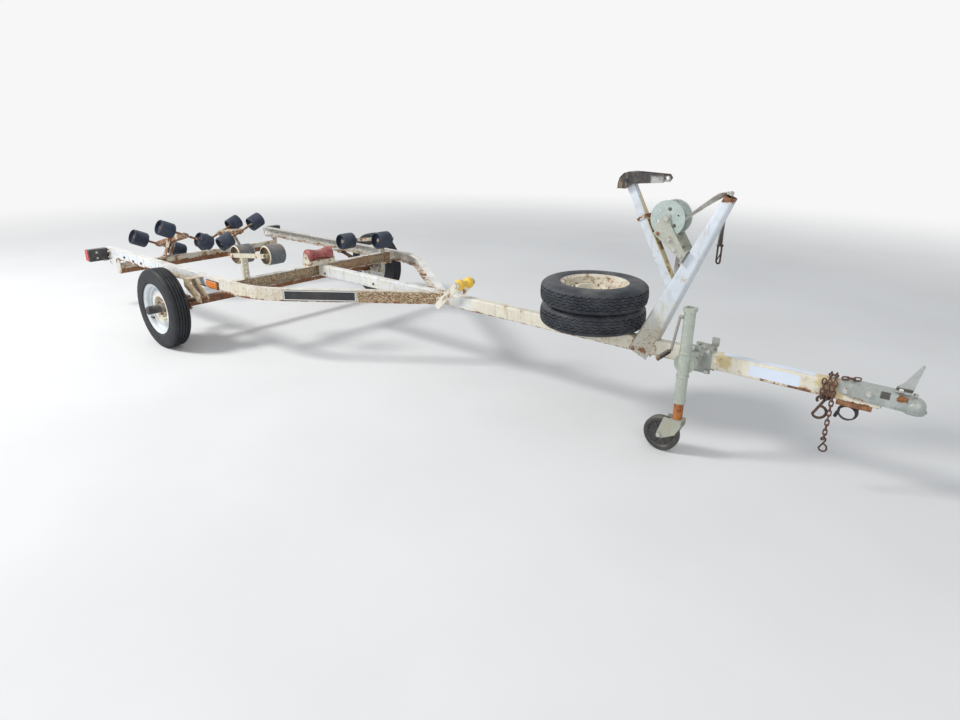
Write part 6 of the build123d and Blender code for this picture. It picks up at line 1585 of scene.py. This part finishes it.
def side_markers():
    """A black plate with two ribbed amber lenses on each rail."""
    lenses, plates = bmesh.new(), bmesh.new()
    for _, sign in SIDES:
        slab(plates, (MARKER_X, sign * 0.7274, MARKER_Z), (0.148, 0.0036, 0.050), 0.0012, 2)
        for x in (MARKER_X - 0.0305, MARKER_X + 0.0305):
            slab(lenses, (x, sign * 0.7350, MARKER_Z), (0.0585, 0.0130, 0.042), 0.0045, 3)
            for k in range(5):
                slab(lenses, (x, sign * 0.7416, 0.418 + k * 0.0065), (0.048, 0.0010, 0.0016), 0.0004)
    keep("marker_plates", plates, "chassis", "black")
    piece = keep("marker_lenses", lenses, "chassis", "amber")
    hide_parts("side_markers")


class TRAILER_OT_lamps(TrailerOperator):
    """Lens ribs, screws, bolts and short wires of the tail lamps, and the side markers"""

    bl_idname = "trailer.lamp_details"
    bl_label = "Lamp details"

    def execute(self, context):
        tail_lens_ribs()
        lamp_fixings()
        lamp_wires()
        side_markers()
        return {"FINISHED"}


# Jack details

JACK_X = 1.9105
JACK_Y = -0.150
JACK_WHEEL = (1.8445, 0.085)


def jack_bands():
    """Three raised bands round the tube."""
    bm = bmesh.new()
    inner, outer, rounded = 0.0251, 0.0282, 0.0276
    for height, wide in ((0.262, 0.012), (0.386, 0.010), (0.495, 0.010)):
        h = wide / 2
        ring = [(inner, -h), (rounded, -h), (outer, -h + 0.001), (outer, h - 0.001), (rounded, h), (inner, h)]
        lathe(bm, ring, axis_frame((JACK_X, JACK_Y, height), (0, 0, 1)), 48, closed=True)
    keep("jack_tube_bands", bm, "jack", "jack")


def jack_notches():
    """Notched rim of the swivel disc."""
    bm = bmesh.new()
    place = axis_frame((JACK_X, -0.1175, 0.440), (0, 1, 0))
    for k in range(12):
        turned = place @ Matrix.Rotation(2 * math.pi * k / 12, 4, "Z")
        slab(bm, turned @ Matrix.Translation((0.0385, 0, 0.0)), (0.010, 0.006, 0.004), 0.001)
    keep("jack_disc_notches", bm, "jack", "jack")


def jack_pull_pin():
    """Pull pin that locks the swing."""
    bm = bmesh.new()
    pin = [(0.0, 0.0), (0.008, 0.0), (0.008, 0.020), (0.0055, 0.022), (0.0055, 0.034)]
    knob = [(0.011, 0.036), (0.012, 0.040), (0.012, 0.046), (0.009, 0.049), (0.0, 0.049)]
    lathe(bm, pin + knob, axis_frame((JACK_X + 0.044, -0.075, 0.473), (0.2, -0.1, 1)), 28)
    keep("jack_pull_pin", bm, "chassis", "mount")


def jack_wheel_details():
    """Nuts on the wheel's axle and six spokes on each face."""
    x, z = JACK_WHEEL
    rows = [((x, JACK_Y + sign * 0.0360, z), (0, sign, 0), 0.019, 0.007, 0.0, 0.0) for _, sign in SIDES]
    bolts("jack_axle_nuts", "jack_fork", "bolt", rows)
    bm = bmesh.new()
    for _, sign in SIDES:
        place = axis_frame((x, JACK_Y + sign * 0.0130, z), (0, sign, 0))
        for k in range(6):
            turned = place @ Matrix.Rotation(2 * math.pi * (k + 0.5) / 6, 4, "Z")
            slab(bm, turned @ Matrix.Translation((0.039, 0, 0.0015)), (0.034, 0.005, 0.007), 0.001)
    keep("jack_wheel_spokes", bm, "jack_wheel", "jack_wheel")


class TRAILER_OT_jack(TrailerOperator):
    """Bands, notched disc, pull pin, axle nuts and wheel spokes of the jack"""

    bl_idname = "trailer.jack_details"
    bl_label = "Jack details"

    def execute(self, context):
        jack_bands()
        jack_notches()
        jack_pull_pin()
        jack_wheel_details()
        return {"FINISHED"}


# Coupler details

LATCH_PIVOT = (2.7085, 0.4905)
CABLE_RADIUS = 0.0026
CABLE_PITCH = 0.0064
CABLE_STEPS = 142
STEPS_PER_TURN = 32
CABLE_LEAD = (
    (2.4800, 0.0270, 0.4430),
    (2.4880, 0.0350, 0.4430),
    (2.5200, 0.0352, 0.4370),
    (2.5560, 0.0330, 0.4080),
    (2.5790, 0.0240, 0.3760),
)


def latch_pivot():
    """Pivot pin of the latch with a cap on each side, and the nut under the socket's spring plate."""
    x, z = LATCH_PIVOT
    bm = bmesh.new()
    pin = [(0.0, -0.0185), (0.0055, -0.0185), (0.0055, 0.0185), (0.0, 0.0185)]
    lathe(bm, pin, axis_frame((x, 0, z), (0, 1, 0)), 20)
    cap = [(0.0, 0.0), (0.0085, 0.0), (0.0085, 0.002), (0.006, 0.004), (0.0, 0.0045)]
    for _, sign in SIDES:
        lathe(bm, cap, axis_frame((x, sign * 0.0145, z), (0, sign, 0)), 20)
    nut = [(0.0, 0.0), (0.009, 0.0), (0.009, 0.006), (0.006, 0.008), (0.0, 0.008)]
    lathe(bm, nut, axis_frame((2.7555, 0, 0.4785), (0.12, 0, 1)), 6)
    keep("latch_pivot", bm, "chassis", "bolt")


def cable_turns():
    """Points of the cable's coil below the coupler, from its lead to its free end."""
    points = []
    for k in range(CABLE_STEPS + 1):
        a = 0.2 + 2 * math.pi * k / STEPS_PER_TURN
        wide = 0.0335 + 0.0030 * math.sin(k * 0.037)
        tall = 0.0310 + 0.0025 * math.sin(k * 0.023 + 1.0)
        y = 0.0165 - CABLE_PITCH * k / STEPS_PER_TURN
        points.append(Vector((2.5465 + wide * math.cos(a), y, 0.3460 + tall * math.sin(a))))
    return points


def cable():
    """Lamps' cable out of the tongue's side, coiled below its nose, with its plug at the free end."""
    points = cable_turns()
    bm = bmesh.new()
    rod(bm, curve_through([*CABLE_LEAD, points[0]])[:-1] + points, CABLE_RADIUS, 8)
    keep("cable_coil", bm, "chassis", "black", angle=60)
    bm = bmesh.new()
    away = (points[-1] - points[-2]).normalized()
    nose = points[-1] - away * 0.004
    plug = [(0.0, 0.0), (0.0045, 0.0), (0.0062, 0.008), (0.0068, 0.020), (0.0068, 0.034)]
    lathe(bm, plug + [(0.0058, 0.036), (0.0, 0.036)], axis_frame(nose, away), 16)
    for k in range(3):
        place = axis_frame(nose + away * (0.012 + 0.006 * k), away)
        lathe(bm, [(0.0, 0.0), (0.0076, 0.0004), (0.0076, 0.0024), (0.0, 0.0028)], place, 16)
    keep("cable_plug", bm, "chassis", "black")


class TRAILER_OT_coupler(TrailerOperator):
    """Latch pivot and adjusting nut of the coupler, and the lamps' cable below it"""

    bl_idname = "trailer.coupler_details"
    bl_label = "Coupler details"

    def execute(self, context):
        latch_pivot()
        cable()
        return {"FINISHED"}


# Stage

# Place, target and width of each light
KEY_LIGHT = ((-4.2, -4.6, 6.0), (0.0, 0.0, 0.3), 2.2)
FILL_LIGHT = ((5.5, -4.5, 3.5), (0.6, 0.0, 0.4), 5.0)
FLOOR_R = 26.0
# Distances between which the floor passes into the background
FLOOR_FADE = (3.8, 10.5)
BACKGROUND = (0.93, 0.93, 0.93, 1.0)
SKY = (0.90, 0.94, 1.0, 1.0)
CAMERA_AT = (2.913847, -2.766793, 1.444629)
CAMERA_WAY = (-0.59849, 0.72085, -0.34938)
CAMERA_ROLL = -0.0056829
CAMERA_LENS = 24.12


def either_shader(share, first, second):
    """Shader node first that passes into second where share is 1."""
    both = {0: share, 1: Field(first.outputs[0]), 2: Field(second.outputs[0])}
    return Field(add(share.tree, "ShaderNodeMixShader", both).outputs[0])


def background_rays(tree):
    """1 for the rays that show the background: from the camera, in a reflection or through glass."""
    path = add(tree, "ShaderNodeLightPath").outputs
    seen = Field(path["Is Camera Ray"]).highest(Field(path["Is Glossy Ray"]))
    return seen.highest(Field(path["Is Transmission Ray"]))


def stage_floor():
    """A pale disc whose far part passes into the background's colour, for the camera alone."""
    bm = bmesh.new()
    bmesh.ops.create_circle(bm, cap_ends=True, segments=96, radius=FLOOR_R)
    floor = bpy.data.objects.new("Floor", mesh_from(bm, "floor"))
    bpy.context.scene.collection.objects.link(floor)
    floor.location = (0, 0, -0.0005)
    made, shader, where = material("Pale floor")
    tone = noise(where, 0.8, 4.0, 0.5).ramp(0.3, 0.7)
    feed(shader, {"Base Color": mix(tone, (0.70, 0.70, 0.69), (0.74, 0.74, 0.73)), "Roughness": 0.9})
    tree = where.tree
    far = where.vector("LENGTH", give="Value").ramp(*FLOOR_FADE)
    plain = add(tree, "ShaderNodeEmission", {"Color": BACKGROUND, "Strength": 1.0})
    ending = next(n for n in tree.nodes if n.type == "OUTPUT_MATERIAL")
    feed(ending, {"Surface": either_shader(far * background_rays(tree), shader, plain)})
    floor.data.materials.append(made)
    return floor


def stage_light(name, power, at, target, size):
    data = bpy.data.lights.new(name, "AREA")
    data.energy = power
    data.size = size
    data.shape = "DISK"
    light = bpy.data.objects.new(name, data)
    light.location = at
    light.rotation_euler = (Vector(target) - Vector(at)).to_track_quat("-Z", "Y").to_euler()
    bpy.context.scene.collection.objects.link(light)
    return light


def stage_world():
    """Cool light from all round, seen as the plain background."""
    world = bpy.data.worlds.new("Studio")
    world.use_nodes = True
    tree = world.node_tree
    tree.nodes.clear()
    seen = add(tree, "ShaderNodeBackground", {"Color": BACKGROUND, "Strength": 1.0})
    lit = add(tree, "ShaderNodeBackground", {"Color": SKY, "Strength": 0.56})
    add(tree, "ShaderNodeOutputWorld", {"Surface": either_shader(background_rays(tree), lit, seen)})
    bpy.context.scene.world = world


def stage_camera():
    """The photograph's camera, as it was fitted."""
    data = bpy.data.cameras.new("Camera")
    data.lens = CAMERA_LENS
    data.sensor_width = 36.0
    data.clip_end = 100.0
    camera = bpy.data.objects.new("Camera", data)
    forward = Vector(CAMERA_WAY).normalized()
    right = forward.cross(Vector((0, 0, 1))).normalized()
    up = right.cross(forward)
    side = math.cos(CAMERA_ROLL) * right - math.sin(CAMERA_ROLL) * up
    head = math.sin(CAMERA_ROLL) * right + math.cos(CAMERA_ROLL) * up
    place = Matrix((side, head, -forward)).transposed().to_4x4()
    place.translation = Vector(CAMERA_AT)
    camera.matrix_world = place
    bpy.context.scene.collection.objects.link(camera)
    bpy.context.scene.camera = camera
    return camera


class TRAILER_OT_stage(TrailerOperator):
    """Pale floor, soft lights and the camera"""

    bl_idname = "trailer.stage"
    bl_label = "Stage"

    def execute(self, context):
        s = self.settings
        context.scene.view_settings.view_transform = "Standard"
        floor = stage_floor()
        key = stage_light("Key", s.key_power, *KEY_LIGHT)
        fill = stage_light("Fill", s.fill_power, *FILL_LIGHT)
        stage_world()
        stage_camera()
        return {"FINISHED"}


class TRAILER_PT_panel(bpy.types.Panel):
    bl_label = "Roller boat trailer"
    bl_idname = "TRAILER_PT_panel"
    bl_space_type = "VIEW_3D"
    bl_region_type = "UI"
    bl_category = "Trailer"

    def draw(self, context):
        settings = context.scene.trailer
        for name in TrailerSettings.__annotations__:
            self.layout.prop(settings, name)
        for step in STEPS:
            self.layout.operator(step.bl_idname)


STEPS = (
    TRAILER_OT_finishes,
    TRAILER_OT_tyres,
    TRAILER_OT_valves,
    TRAILER_OT_chains,
    TRAILER_OT_stickers,
    TRAILER_OT_welds,
    TRAILER_OT_fixings,
    TRAILER_OT_winch,
    TRAILER_OT_pins,
    TRAILER_OT_lamps,
    TRAILER_OT_jack,
    TRAILER_OT_coupler,
    TRAILER_OT_stage,
)
CLASSES = (TrailerSettings, *STEPS, TRAILER_PT_panel)


def register():
    for one in CLASSES:
        bpy.utils.register_class(one)
    bpy.types.Scene.trailer = bpy.props.PointerProperty(type=TrailerSettings)


def unregister():
    del bpy.types.Scene.trailer
    for one in reversed(CLASSES):
        bpy.utils.unregister_class(one)


def main():
    register()
    for step in STEPS:
        space, name = step.bl_idname.split(".")
        if getattr(getattr(bpy.ops, space), name)() != {"FINISHED"}:
            raise RuntimeError(f"{step.bl_idname} did not finish")


if __name__ == "__main__":
    main()
